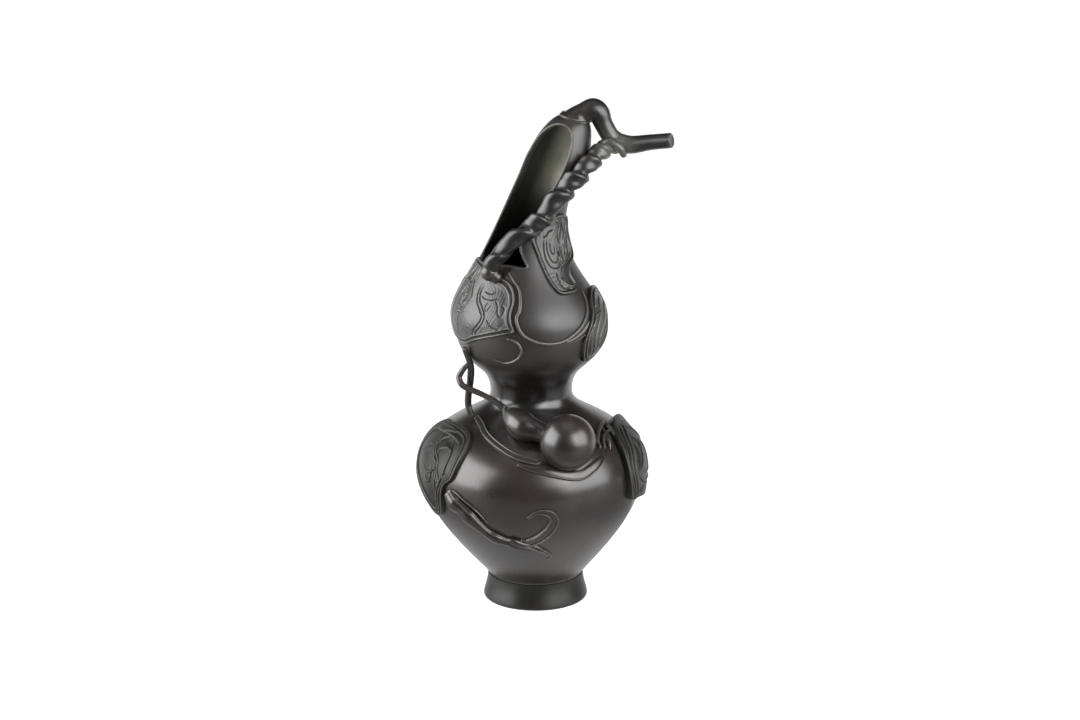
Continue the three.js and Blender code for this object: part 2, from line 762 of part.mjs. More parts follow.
function fruitBall(gap = 0) {
  return new THREE.SphereGeometry(fruitRadius + gap, fruitSides, fruitSides / 2)
    .translate(fruitCentre.x, fruitCentre.y, fruitCentre.z);
}

// A small double gourd: a lobe drawn out from the stalk, a narrow neck and a round ball, seated on the wall
function smallGourd() {
  const points = [
    ...fruitTipShares.map(airPoint),
    fruitNeckCentre,
    fruitNeckCentre.clone().lerp(fruitCentre, fruitBendShare),
    fruitCentre,
  ];
  const lobe = limb(points, fruitRadiusShares, fruitNeckRadius, fruitSteps, undefined, fruitSides / 2);
  const whole = solidOf(lobe).add(solidOf(fruitBall()));
  return geometryOf(whole.subtract(solidOf(wallEnvelope(clearance))));
}

function shoulderBand() {
  const band = lowerLine(shoulderBandShares, bandWidth, bandHeight, bandWidthShares, bandSteps);
  return geometryOf(solidOf(band).subtract(solidOf(fruitBall(clearance))));
}

const bandSteps = 20;
const rimSteps = 30;
const webSteps = 3;
const curlSteps = 16;
const trailSteps = 22;
const ridgeSteps = 16;
const knotSteps = 10;

const upperLine = (route, width, height, shares, steps) =>
  wallStrand(route, upperLevel, width, height, shares, steps);
const lowerLine = (route, width, height, shares, steps) =>
  wallStrand(route, lowerLevel, width, height, shares, steps);

const pieces = {
  foot_ring: [footRing(), greenBronze],
  base_plate: [basePlate(), bronze],
  lower_gourd: [lowerGourd(), bronze],
  upper_gourd: [upperGourd(), bronze],
  stem: [stem(), bronze],
  cut_branch: [cutBranch(), bronze],
  twisted_vine: [handleVine(), bronze],
  vine_boss: [vineBoss(), brownBronze],
  shoulder_leaf: [leafOnWall(shoulderLeaf), bronze],
  back_leaf: [leafOnWall(backLeaf), bronze],
  side_leaf: [leafOnWall(sideLeaf), bronze],
  neck_leaf: [leafOnWall(neckLeaf), greenBronze],
  belly_leaf: [leafOnWall(bellyLeaf), greenBronze],
  folded_leaf: [leafOnWall(foldedLeaf), greenBronze],
  panel_rim: [upperLine(panelRimShares, rimWidth, rimHeight, evenWidthShares, rimSteps), greenBronze],
  panel_web: [upperLine(panelWebShares, rimWidth, rimHeight, evenWidthShares, webSteps), greenBronze],
  upper_curl: [upperLine(upperCurlShares, curlWidth, curlHeight, taperWidthShares, curlSteps), greenBronze],
  hanging_strand: [geometryOf(hangingStrand()), greenBronze],
  gourd_stalk: [gourdStalk(), brownBronze],
  small_gourd: [smallGourd(), brownBronze],
  shoulder_ridge: [
    lowerLine(shoulderRidgeShares, ridgeWidth, curlHeight, evenWidthShares, ridgeSteps),
    greenBronze,
  ],
  shoulder_band: [shoulderBand(), greenBronze],
  knot_loop: [lowerLine(knotLoopShares, curlWidth, curlHeight, evenWidthShares, knotSteps), greenBronze],
  trailing_vine: [
    lowerLine(trailingVineShares, trailWidth, trailHeight, trailWidthShares, trailSteps),
    bronze,
  ],
  lower_curl: [lowerLine(lowerCurlShares, hookWidth, hookHeight, taperWidthShares, curlSteps), greenBronze],
};

const vase = new THREE.Group();
for (const [name, [geometry, material]] of Object.entries(pieces)) {
  const mesh = new THREE.Mesh(closedBody(geometry), material);
  mesh.name = name;
  vase.add(mesh);
}

// The origin is under the middle of the whole vase, on the surface that it stands on
const extent = new THREE.Box3().setFromObject(vase);
const middle = extent.getCenter(new THREE.Vector3());
vase.position.set(-middle.x, -middle.y, -extent.min.z);

export default vase;
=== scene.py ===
"""Looks of the bronze double gourd flower vase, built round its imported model.

Shapes are worked out in millimetres from the gourd's own axis, and made in metres in the model's frame.
"""

import math

import bmesh
import bpy
import numpy as np
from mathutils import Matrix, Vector
from mathutils.bvhtree import BVHTree


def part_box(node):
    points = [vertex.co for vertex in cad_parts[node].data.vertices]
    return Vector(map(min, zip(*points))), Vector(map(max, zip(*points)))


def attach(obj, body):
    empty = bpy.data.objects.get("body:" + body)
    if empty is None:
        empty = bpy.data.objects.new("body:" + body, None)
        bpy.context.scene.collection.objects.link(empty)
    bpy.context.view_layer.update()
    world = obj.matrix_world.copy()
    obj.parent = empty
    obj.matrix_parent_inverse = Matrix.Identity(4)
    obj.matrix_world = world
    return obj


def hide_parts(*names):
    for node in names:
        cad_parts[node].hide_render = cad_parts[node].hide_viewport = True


bl_info = {
    "name": "Double gourd vase",
    "version": (1, 0, 0),
    "blender": (4, 5, 0),
    "location": "3D View > Sidebar > Vase",
    "description": "Builds the cast gourd, its vine, leaves and tendrils, and the stage",
    "category": "Add Mesh",
}

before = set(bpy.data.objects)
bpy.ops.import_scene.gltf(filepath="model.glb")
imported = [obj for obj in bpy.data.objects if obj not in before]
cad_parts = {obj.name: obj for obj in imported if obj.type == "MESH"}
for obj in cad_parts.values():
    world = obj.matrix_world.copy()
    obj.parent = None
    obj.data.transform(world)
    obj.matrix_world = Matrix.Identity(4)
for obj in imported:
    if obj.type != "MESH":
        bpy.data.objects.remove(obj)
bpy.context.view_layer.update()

MM = 0.001
foot_low, foot_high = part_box("foot_ring")
GOURD_AXIS = np.array([(foot_low.x + foot_high.x) / 2, (foot_low.y + foot_high.y) / 2, 0.0])

# Sizes of the casting, in millimetres. A pair is a radius and a height
CLEARANCE = 0.3
WALL = 2.5
FOOT_RADIUS = 28.9
FOOT_TOP_RADIUS = 26.4
FOOT_HEIGHT = 14.2
FOOT_BORE_RADIUS = 24.6
FOOT_LEDGE_RADIUS = 21.2
FOOT_LEDGE_HEIGHT = 10.6
JOINT = (26.1, 14.5)
BELLY = (61.5, 73.5)
WAIST = (22.4, 119.0)
BULB = (40.8, 160.5)
NECK = (16.1, 238.0)
HEAD = (16.5, 248.0)
CROWN = (8.3, 269.0)
NECK_LEAN = 20.4
CROWN_TILT = math.radians(12.4)
MOUTH_AZIMUTH = math.radians(-123.5)
MOUTH_HALF_WIDTH = 12.9
MOUTH_HEIGHT = 74.2
MOUTH_LIP_HEIGHT = NECK[1] - 45
MOUTH_BACK_INSET = 3.0
CUT_OVERRUN = 60.0


# Lines and the gourd's wall


def bezier(points, steps):
    t = np.linspace(0, 1, steps + 1)[:, None]
    a, b, c, d = (np.array(point, float) for point in points)
    return (1 - t) ** 3 * a + 3 * (1 - t) ** 2 * t * b + 3 * (1 - t) * t**2 * c + t**3 * d


def hermite(near, far, leave, reach, w):
    bend = 3 * (far - near) - 2 * leave - reach
    return near + leave * w + bend * w**2 + (2 * (near - far) + leave + reach) * w**3


def smooth_line(points, count, closed=False):
    """A line through the points that doesn't overshoot where they are close together."""
    points = np.asarray(points, float)
    if closed:
        ring = np.concatenate([points[-1:], points, points[:2]])
    else:
        ring = np.concatenate([2 * points[:1] - points[1:2], points, 2 * points[-1:] - points[-2:-1]])
    spans = len(points) if closed else len(points) - 1
    t = np.linspace(0, spans, count, endpoint=not closed)
    i = np.minimum(t.astype(int), spans - 1)
    p0, p1, p2, p3 = (ring[i + k] for k in range(4))
    d0, d1, d2 = (
        np.maximum(np.linalg.norm(b - a, axis=1, keepdims=True) ** 0.5, 1e-6)
        for a, b in ((p0, p1), (p1, p2), (p2, p3))
    )
    leave = ((p1 - p0) / d0 - (p2 - p0) / (d0 + d1) + (p2 - p1) / d1) * d1
    reach = ((p2 - p1) / d1 - (p3 - p1) / (d1 + d2) + (p3 - p2) / d2) * d1
    return hermite(p1, p2, leave, reach, (t - i)[:, None])


def eased(shares, count):
    """Values that pass smoothly through the shares, which lie at even steps."""
    shares = np.asarray(shares, float)
    if shares.ndim == 1:
        return eased(shares[:, None], count)[:, 0]
    spans = len(shares) - 1
    t = np.linspace(0, spans, count)
    i = np.minimum(t.astype(int), spans - 1)
    ring = np.concatenate([shares[:1], shares, shares[-1:]])
    p0, p1, p2, p3 = (ring[i + k] for k in range(4))
    return hermite(p1, p2, (p2 - p0) / 2, (p3 - p1) / 2, (t - i)[:, None])


def evenly(line, count, closed=False):
    """The same line with its points at even distances."""
    ring = np.concatenate([line, line[:1]]) if closed else line
    far = np.concatenate([[0], np.cumsum(np.linalg.norm(np.diff(ring, axis=0), axis=1))])
    at = np.linspace(0, far[-1], count, endpoint=not closed)
    return np.stack([np.interp(at, far, ring[:, k]) for k in range(ring.shape[1])], axis=1)


def stretch(low, high, leave, reach, rounding=0.0):
    rise = high[1] - low[1]
    return [
        low,
        (low[0], low[1] + leave * rise),
        (high[0] + rounding * (low[0] - high[0]), high[1] - reach * rise),
        high,
    ]


STRETCHES = [
    stretch(JOINT, BELLY, 0.05, 0.41),
    stretch(BELLY, WAIST, 0.69, 0.32),
    stretch(WAIST, BULB, 0.47, 0.72),
    stretch(BULB, NECK, 0.23, 0.65),
    stretch(NECK, HEAD, 0.5, 0.5),
    stretch(HEAD, CROWN, 0.16, 0.18, 0.56),
]
PROFILE = np.concatenate([bezier(part, 200) for part in STRETCHES])
PROFILE = PROFILE[np.unique(PROFILE[:, 1].round(6), return_index=True)[1]]

# The casting leans a little to the left, and its neck swings to the right
LEAN_SHARES = [
    (0, 0), (0.054, 0), (0.273, -0.108), (0.442, -0.113), (0.597, -0.176), (0.706, -0.255), (0.781, -0.142),
    (0.855, 0.167), (0.929, 0.608), (0.967, 0.804), (1, 1),
]
LEAN = eased(np.array(LEAN_SHARES) * [CROWN[1], NECK_LEAN], 201)


def radius_at(height):
    return np.interp(height, PROFILE[:, 1], PROFILE[:, 0])


def lean_at(height):
    return np.interp(height, LEAN[:, 0], LEAN[:, 1])


def tilt_at(height):
    share = np.clip((height - NECK[1]) / (CROWN[1] - NECK[1]), 0, 1)
    return math.tan(CROWN_TILT) * share**2 * (3 - 2 * share)


def wall_normal(height):
    step = 0.0005 * CROWN[1]
    slope = (radius_at(height + step) - radius_at(height - step)) / (2 * step)
    return 1 / np.hypot(1, slope), -slope / np.hypot(1, slope)


def leant(x, y, z):
    return np.stack([x + lean_at(z), y, z - x * tilt_at(z)], axis=-1)


def wall_point(azimuth, height, lift=0.0):
    """A point on the wall, lifted off it along its normal. Azimuth is in degrees."""
    out, rise = wall_normal(height)
    turn = np.radians(azimuth)
    radius = radius_at(height) + lift * out
    return leant(radius * np.cos(turn), radius * np.sin(turn), height + lift * rise)


def lower_level(share):
    return JOINT[1] + share * (WAIST[1] - JOINT[1])


def upper_level(share):
    return WAIST[1] + share * (NECK[1] - WAIST[1])


def air_point(azimuth, height, out):
    """A point in the free air round the gourd, so far out from its axis. Azimuth is in degrees."""
    turn = math.radians(azimuth)
    return out * math.cos(turn) + lean_at(height), out * math.sin(turn), height


def unit(vectors):
    return vectors / np.maximum(np.linalg.norm(vectors, axis=-1, keepdims=True), 1e-12)


# Meshes

# Rings that round off a rail's end, and how far the end then stands out, in radii
CAP_RINGS = 5
CAP_REACH = 0.6

# In millimetres: how deep a raised line goes into the wall, its ring's margin, and which points merge
LINE_ROOT = 0.3
LINE_MARGIN = 0.4
MERGE_DISTANCE = 0.002


def placed(points):
    return np.asarray(points, float) * MM + GOURD_AXIS


def linked(name, data):
    obj = bpy.data.objects.new(name, data)
    bpy.context.scene.collection.objects.link(obj)
    return obj


def discard(obj):
    """Removes an object and its mesh."""
    mesh = obj.data
    bpy.data.objects.remove(obj)
    bpy.data.meshes.remove(mesh)


def poured(shell, name):
    """The shell that was worked on, as a new mesh."""
    mesh = bpy.data.meshes.new(name)
    shell.to_mesh(mesh)
    shell.free()
    return mesh


def read(items, name, width, kind=float):
    """One row of numbers for each vertex, normal or edge."""
    values = np.zeros(len(items) * width, kind)
    items.foreach_get(name, values)
    return values.reshape(-1, width)


class Graph:
    """Adds nodes to a node tree. An input takes another node's socket or a plain value."""

    def __init__(self, tree):
        self.nodes, self.links = tree.nodes, tree.links

    def feed(self, socket, value):
        if isinstance(value, bpy.types.NodeSocket):
            self.links.new(value, socket)
        else:
            socket.default_value = value

    def add(self, kind, inputs=None, **settings):
        node = self.nodes.new(kind)
        for name, setting in settings.items():
            setattr(node, name, setting)
        for key, value in (inputs or {}).items():
            self.feed(node.inputs[key], value)
        return node

    def maths(self, operation, *values):
        return self.add("ShaderNodeMath", dict(enumerate(values)), operation=operation).outputs[0]

    def product(self, first, second):
        return self.maths("MULTIPLY", first, second)

    def vectors(self, operation, *values):
        node = self.add("ShaderNodeVectorMath", dict(enumerate(values)), operation=operation)
        return node.outputs["Value" if operation in ("DOT_PRODUCT", "DISTANCE") else "Vector"]

    def mix(self, factor, first, second, blend="MIX"):
        inputs = {0: factor, 6: first, 7: second}
        return self.add("ShaderNodeMix", inputs, data_type="RGBA", blend_type=blend).outputs[2]

    def ramp(self, value, low, high, to_low=0.0, to_high=1.0):
        inputs = {"Value": value, "From Min": low, "From Max": high, "To Min": to_low, "To Max": to_high}
        return self.add("ShaderNodeMapRange", inputs, interpolation_type="SMOOTHSTEP").outputs["Result"]

    def noise(self, where, scale, distortion=0.0):
        inputs = {"Vector": where, "Scale": scale, "Detail": 3.0, "Distortion": distortion}
        return self.add("ShaderNodeTexNoise", inputs).outputs["Fac"]

    def shade(self, inputs):
        """Feeds a material's own shader."""
        for key, value in inputs.items():
            self.feed(self.nodes["Principled BSDF"].inputs[key], value)


def new_material(name):
    material = bpy.data.materials.new(name)
    material.use_nodes = True
    return material, Graph(material.node_tree)


def ring_skin_tree():
    """A closed skin of rings along a rail: each point of the rail holds its ring's two half axes."""
    tree = bpy.data.node_groups.new("ring_skin", "GeometryNodeTree")
    tree.is_modifier = True
    for name, kind, default in (
        ("Rail", "NodeSocketGeometry", None),
        ("Sides", "NodeSocketInt", 32),
        ("Roundness", "NodeSocketFloat", 1.0),
        ("Finish", "NodeSocketMaterial", None),
    ):
        socket = tree.interface.new_socket(name, in_out="INPUT", socket_type=kind)
        if default is not None:
            socket.default_value = default
    tree.interface.new_socket("Skin", in_out="OUTPUT", socket_type="NodeSocketGeometry")

    graph = Graph(tree)
    source = graph.add("NodeGroupInput").outputs
    size = graph.add("GeometryNodeAttributeDomainSize", {"Geometry": source["Rail"]})
    steps = size.outputs["Point Count"]
    columns = graph.maths("ADD", source["Sides"], 1.0)
    grid = graph.add("GeometryNodeMeshGrid", {"Vertices X": columns, "Vertices Y": steps})
    index = graph.add("GeometryNodeInputIndex").outputs[0]
    row = graph.maths("MODULO", index, steps)
    column = graph.maths("FLOOR", graph.maths("DIVIDE", index, steps))
    turn = graph.product(graph.maths("DIVIDE", column, source["Sides"]), 2 * math.pi)

    def sampled(value):
        inputs = {"Geometry": source["Rail"], "Value": value, "Index": row}
        return graph.add("GeometryNodeSampleIndex", inputs, data_type="FLOAT_VECTOR").outputs["Value"]

    def half_axis(name, wave):
        stored = graph.add("GeometryNodeInputNamedAttribute", {"Name": name}, data_type="FLOAT_VECTOR")
        reach = graph.maths(wave, turn)
        bend = graph.maths("POWER", graph.maths("ABSOLUTE", reach), source["Roundness"])
        bend = graph.product(bend, graph.maths("SIGN", reach))
        inputs = {0: sampled(stored.outputs["Attribute"]), "Scale": bend}
        return graph.add("ShaderNodeVectorMath", inputs, operation="SCALE").outputs[0]

    spot = sampled(graph.add("GeometryNodeInputPosition").outputs[0])
    spot = graph.vectors("ADD", spot, half_axis("across", "COSINE"))
    spot = graph.vectors("ADD", spot, half_axis("up", "SINE"))
    skin = grid.outputs["Mesh"]
    for kind, inputs in (
        ("GeometryNodeSetPosition", {"Position": spot}),
        ("GeometryNodeMergeByDistance", {"Distance": MERGE_DISTANCE * MM}),
        ("GeometryNodeSetShadeSmooth", {}),
        ("GeometryNodeRealizeInstances", {}),
        ("GeometryNodeSetMaterial", {"Material": source["Finish"]}),
        ("NodeGroupOutput", {}),
    ):
        node = graph.add(kind, {0: skin, **inputs})
        skin = node.outputs[0] if node.outputs else None
    return tree


def plain_mesh(obj):
    """The object's mesh with its modifiers worked in. The object itself is removed."""
    bpy.context.view_layer.update()
    seen = obj.evaluated_get(bpy.context.evaluated_depsgraph_get())
    mesh = bpy.data.meshes.new_from_object(seen)
    discard(obj)
    return mesh


def outward(mesh):
    """Turns a closed mesh's faces outwards."""
    shell = bmesh.new()
    shell.from_mesh(mesh)
    if shell.calc_volume(signed=True) < 0:
        bmesh.ops.reverse_faces(shell, faces=shell.faces)
        shell.to_mesh(mesh)
    shell.free()
    return mesh


def fused(meshes, finish, cell, rounds):
    """Melts closed meshes into one skin and rounds off where they meet. The cell is in millimetres."""
    whole = bmesh.new()
    for mesh in meshes:
        whole.from_mesh(mesh)
        bpy.data.meshes.remove(mesh)
    carrier = linked("raw", poured(whole, "raw"))
    melt = carrier.modifiers.new("melt", "REMESH")
    melt.mode = "VOXEL"
    melt.voxel_size = cell * MM
    easing = carrier.modifiers.new("easing", "SMOOTH")
    easing.factor = 0.5
    easing.iterations = rounds
    skin = plain_mesh(carrier)
    skin.materials.clear()
    skin.materials.append(finish)
    return outward(skin)


def ring_skin(rail, finish, sides=32, roundness=1.0):
    """Runs the ring skin tree on a rail of (centres, across, up), all in millimetres."""
    centres, across, up = rail
    line = bpy.data.meshes.new("rail")
    line.from_pydata(placed(centres).tolist(), [(i, i + 1) for i in range(len(centres) - 1)], [])
    for name, vectors in (("across", across), ("up", up)):
        stored = line.attributes.new(name, "FLOAT_VECTOR", "POINT")
        stored.data.foreach_set("vector", (np.asarray(vectors, float) * MM).ravel())
    carrier = linked("rail", line)
    tree = bpy.data.node_groups.get("ring_skin") or ring_skin_tree()
    modifier = carrier.modifiers.new("ring_skin", "NODES")
    modifier.node_group = tree
    inputs = {"Sides": sides, "Roundness": roundness, "Finish": finish}
    for item in tree.interface.items_tree:
        if item.name in inputs:
            modifier[item.identifier] = inputs[item.name]
    return outward(plain_mesh(carrier))


def frames_along(line):
    """Two unit vectors square to the line at each point, carried along it without twisting."""
    tangents = unit(np.gradient(line, axis=0))
    across = np.cross((0, 0, 1), tangents[0])
    turned = []
    for tangent in tangents:
        across = across - across.dot(tangent) * tangent
        across = across / np.linalg.norm(across)
        turned.append(across)
    turned = np.array(turned)
    return turned, np.cross(tangents, turned)


def rounded_ends(rail):
    """Closes a rail's ends with rings that shrink in a quarter circle."""
    centres, across, up = rail
    turns = np.linspace(0, math.pi / 2, CAP_RINGS + 1)[1:]

    def cap(k, inner):
        size = max(np.linalg.norm(across[k]), np.linalg.norm(up[k]))
        ahead = unit(centres[k] - centres[inner]) * size * CAP_REACH
        spots = [
            (centres[k] + math.sin(t) * ahead, math.cos(t) * across[k], math.cos(t) * up[k]) for t in turns
        ]
        return [np.array(column) for column in zip(*spots)]

    return [
        np.concatenate([first[::-1], middle, last])
        for first, middle, last in zip(cap(0, 1), (centres, across, up), cap(-1, -2))
    ]


def tube_rail(line, radii):
    across, up = frames_along(line)
    radii = np.asarray(radii)[:, None]
    return rounded_ends((line, across * radii, up * radii))


def wall_rail(route, level, width, height, width_shares, count, beside=0.0):
    """A rail on the wall for a raised line that narrows by its width shares, or beside its middle."""
    spots = smooth_line([(azimuth, level(share)) for azimuth, share in route], count)
    feet = wall_point(spots[:, 0], spots[:, 1])
    up = unit(wall_point(spots[:, 0], spots[:, 1], 1.0) - feet)
    across = unit(np.cross(np.gradient(feet, axis=0), up))
    sizes = eased(width_shares, count)[:, None]
    top = CLEARANCE + height * sizes
    half = (top + LINE_ROOT + LINE_MARGIN) / 2
    centres = feet + up * (top - half) + across * sizes * beside
    return rounded_ends((centres, across * sizes * width / 2, up * half))


def ball(centre, radius, sides=48):
    """A ball as a rail of rings."""
    turns = np.linspace(-math.pi / 2, math.pi / 2, sides // 2 + 1)
    rings = radius * np.cos(turns)[:, None]
    centres = np.asarray(centre) + np.sin(turns)[:, None] * radius * np.array([[0, 0, 1.0]])
    return centres, rings * np.array([[1.0, 0, 0]]), rings * np.array([[0, 1.0, 0]])


def store_bulge(mesh, rounds):
    """Keeps how strongly each point bulges, as the attribute wear_and_crease_shade: 0 in creases, where the
    finish paints shade, 1 on sharp ridges, where it is rubbed.
    """
    count = len(mesh.vertices)
    spots = read(mesh.vertices, "co", 3) / MM
    normals = read(mesh.vertex_normals, "vector", 3)
    a, b = read(mesh.edges, "vertices", 2, int).T
    step = spots[b] - spots[a]
    bulge = ((normals[b] - normals[a]) * step).sum(1) / np.maximum((step**2).sum(1), 0.01)
    met = np.maximum(np.bincount(a, minlength=count) + np.bincount(b, minlength=count), 1)
    wear_and_crease_shade = (np.bincount(a, bulge, count) + np.bincount(b, bulge, count)) / met
    for _ in range(rounds):
        around = (np.bincount(a, wear_and_crease_shade[b], count) + np.bincount(b, wear_and_crease_shade[a], count)) / met
        wear_and_crease_shade = 0.5 * wear_and_crease_shade + 0.5 * around
    stored = mesh.attributes.new("wear_and_crease_shade", "FLOAT", "POINT")
    stored.data.foreach_set("value", np.clip(0.5 + 0.5 * wear_and_crease_shade, 0, 1))


def make_piece(name, meshes, slot, replaced, sharp=None, soften=2):
    """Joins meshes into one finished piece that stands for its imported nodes."""
    whole = bmesh.new()
    finishes = []
    for mesh in meshes:
        start = len(whole.faces)
        whole.from_mesh(mesh)
        whole.faces.ensure_lookup_table()
        own = list(mesh.materials)
        for face in whole.faces[start:]:
            finish = own[min(face.material_index, len(own) - 1)]
            if finish not in finishes:
                finishes.append(finish)
            face.material_index = finishes.index(finish)
            face.smooth = True
        bpy.data.meshes.remove(mesh)
    joined = poured(whole, name)
    for finish in finishes:
        joined.materials.append(finish)
    if sharp:
        joined.set_sharp_from_angle(angle=math.radians(sharp))
    store_bulge(joined, soften)
    obj = linked(name, joined)
    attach(obj, "root")
    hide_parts(*replaced)


# Finishes

# How fine the patches, the mottle and the grain of the patina are
PATCH_SCALE = 24.0
MOTTLE_SCALE = 420.0
GRAIN_SCALE = 1900.0

# Heights in metres: the waist, round which the walls get painted shade, the level over which the wall is
# dull, and those between which the mouth's inside turns pale with painted light
WAIST_LEVEL = 0.122
DULL_LEVEL = 0.15
PALE_LEVELS = (0.207, 0.238)

# Painted light inside the mouth: the wall is paler on the side of the stem, and near black as painted shade
# elsewhere: the way it fades, between which distances, and the near black
INNER_FADE = (1.0, 0.0, -0.37)
INNER_FADE_RANGE = (-0.092, -0.077)
INNER_DARK = (0.002, 0.002, 0.0015, 1.0)

# The fine lines that flow over the leaves
LEAF_FLOW = {"Scale": 150.0, "Distortion": 50.0, "Detail": 2.0, "Detail Scale": 0.3}


def bronze(
    name, base, tint, worn, crease, roughness, wear_share=0.9, bump=0.016, kind=None, pale=None,
    refraction=1.62,
):
    """Patinated bronze: two tones in soft patches, rubbed ridges, and creases darkened as painted shade.

    The kind walls is duller and greyer above the waist and darkened in it as painted shade, inside fades to
    pale towards the side of the mouth as painted light and is near black elsewhere as painted shade, and leaf
    has fine flowing lines. It is pale round one place if asked.
    """
    finish, graph = new_material(name)
    ramp, product = graph.ramp, graph.product
    where = graph.add("ShaderNodeTexCoord").outputs["Object"]
    wear_and_crease_shade = graph.add("ShaderNodeAttribute", attribute_name="wear_and_crease_shade").outputs["Fac"]
    level = graph.vectors("DOT_PRODUCT", where, (0.0, 0.0, 1.0))
    above = ramp(level, WAIST_LEVEL, DULL_LEVEL)
    patches = graph.noise(where, PATCH_SCALE, 0.5)
    mottle = graph.noise(where, MOTTLE_SCALE, 0.2)
    grain = graph.noise(where, GRAIN_SCALE)

    spread = ramp(patches, 0.36, 0.66)
    speck_and_waist_shade = ramp(mottle, 0.25, 0.75, 0.92, 1.08)
    if kind == "walls":
        spread = product(spread, graph.maths("MULTIPLY_ADD", above, -0.75, 1.0))
        # Painted shade: the walls' colour is darkened round the waist, down to 0.45 of it
        off = graph.maths("ABSOLUTE", graph.maths("SUBTRACT", level, WAIST_LEVEL))
        speck_and_waist_shade = product(speck_and_waist_shade, ramp(off, 0.004, 0.024, 0.45, 1.0))
    if kind == "inside":
        # Painted light: the inside turns pale towards the side of the stem and higher up, and stays near
        # black as painted shade elsewhere
        olive = ramp(graph.vectors("DOT_PRODUCT", where, INNER_FADE), *INNER_FADE_RANGE)
        olive = product(olive, ramp(level, *PALE_LEVELS))
        spread = product(olive, ramp(patches, 0.3, 0.6, 0.55, 1.0))
    colour = graph.mix(1.0, graph.mix(spread, base, tint), speck_and_waist_shade, "MULTIPLY")
    rubbed = product(ramp(wear_and_crease_shade, 0.6, 0.9, 0.0, wear_share), ramp(mottle, 0.25, 0.5, 0.6, 1.0))
    # Painted shade: in creases, where the surface bends inwards, the colour turns to the near black crease
    # colour
    deep = ramp(wear_and_crease_shade, 0.45, 0.3, 0.0, 0.92)
    colour = graph.mix(deep, graph.mix(rubbed, colour, worn), crease)
    if pale:
        centre, reach, bloom = pale
        near = ramp(graph.vectors("DISTANCE", where, tuple(centre)), reach, 0.3 * reach)
        colour = graph.mix(product(near, ramp(patches, 0.3, 0.6, 0.4, 1.0)), colour, bloom)

    gloss = ramp(patches, 0.3, 0.7, roughness - 0.01, roughness + 0.03)
    dull = graph.maths("ADD", gloss, product(deep, 0.35))
    if kind == "walls":
        dull = graph.maths("MULTIPLY_ADD", above, 0.16, dull)
    height = graph.maths("MULTIPLY_ADD", grain, 0.3, mottle)
    pits = graph.add("ShaderNodeBump", {"Strength": bump, "Distance": 0.1 * MM, "Height": height})
    if kind == "leaf":
        flow = graph.add("ShaderNodeTexWave", {"Vector": where, **LEAF_FLOW}, bands_direction="X")
        cut = product(flow.outputs["Fac"], ramp(patches, 0.42, 0.58))
        engraved = graph.add("ShaderNodeBump", {"Strength": 0.28, "Distance": 0.22 * MM, "Height": cut})
        graph.feed(pits.inputs["Normal"], engraved.outputs["Normal"])
    graph.shade({
        "Base Color": colour, "Roughness": dull, "Metallic": product(rubbed, 0.45), "IOR": refraction,
        "Normal": pits.outputs["Normal"],
    })
    return finish


def toned(colour, red=1, green=None, blue=None):
    """The colour with its channels scaled, all alike if only one share is given."""
    shares = (red, red if green is None else green, red if blue is None else blue)
    return tuple(share * channel for share, channel in zip(shares, colour)) + (1.0,)


def finish_named(name):
    """The finish by its name, made once from the panel's colours."""
    made = bpy.data.materials.get("cast_" + name)
    if made:
        return made
    tones = bpy.context.scene.vase_finish
    dark, brown, green, worn, bloom_and_inner_light, crease = (
        toned(getattr(tones, key)) for key in ("dark", "brown", "green", "worn", "bloom_and_inner_light", "crease")
    )
    satin = tones.roughness
    recipes = {
        "dark_bronze": dict(base=dark, tint=brown, roughness=satin, wear_share=0.7, kind="walls"),
        "green_bronze": dict(base=green, tint=dark, roughness=satin + 0.06),
        "dark_leaf": dict(base=dark, tint=crease, roughness=satin + 0.1, kind="leaf"),
        "green_leaf": dict(
            base=toned(green, 0.5), tint=crease, roughness=satin + 0.18, kind="leaf", refraction=1.36,
        ),
        "brown_bronze": dict(
            base=dark, tint=toned(brown, 1.5), worn=toned(worn, 0.8, 0.62, 0.56), roughness=satin + 0.04,
            wear_share=0.5,
        ),
        "limb_bronze": dict(
            base=dark, tint=crease, worn=toned(worn, 0.9), roughness=satin + 0.1, wear_share=0.8,
            pale=(placed(JUNCTION + BLOOM_OFFSET), BLOOM_REACH, toned(bloom_and_inner_light, 0.11)),
        ),
        "foot_bronze": dict(
            base=toned(green, 0.25), tint=dark, roughness=satin + 0.1, wear_share=0.4, refraction=1.38,
        ),
        "inner_bronze": dict(
            base=INNER_DARK, tint=bloom_and_inner_light, roughness=0.6, wear_share=0.2, bump=0.5, kind="inside",
        ),
    }
    return bronze("cast_" + name, **{"worn": worn, "crease": crease, **recipes[name]})


class VaseFinish(bpy.types.PropertyGroup):
    """Colours of the patina."""

    dark: bpy.props.FloatVectorProperty(
        name="Dark", description="Brown-black of the smooth walls",
        subtype="COLOR", default=(0.0085, 0.0072, 0.0066),
    )
    brown: bpy.props.FloatVectorProperty(
        name="Brown", description="Red-brown patches of the walls",
        subtype="COLOR", default=(0.0165, 0.0112, 0.0093),
    )
    green: bpy.props.FloatVectorProperty(
        name="Green", description="Olive cast of the leaves and the foot",
        subtype="COLOR", default=(0.0145, 0.0155, 0.0122),
    )
    worn: bpy.props.FloatVectorProperty(
        name="Worn", description="Rubbed ridges and edges",
        subtype="COLOR", default=(0.082, 0.078, 0.064),
    )
    # Pale olive of the bloom where stem, branch and vine meet, and of the painted light on the wall inside
    # the mouth
    bloom_and_inner_light: bpy.props.FloatVectorProperty(
        name="Bloom and inner light", description="Pale olive of the wall inside the mouth",
        subtype="COLOR", default=(0.5, 0.5, 0.41),
    )
    # Painted shade: the near black that creases are darkened to; leaves and limbs also take it in their
    # patches
    crease: bpy.props.FloatVectorProperty(
        name="Crease", description="Near black of the creases",
        subtype="COLOR", default=(0.0025, 0.0023, 0.002),
    )
    roughness: bpy.props.FloatProperty(
        name="Roughness", description="Roughness of the satin walls", min=0.1, max=0.9, default=0.265
    )


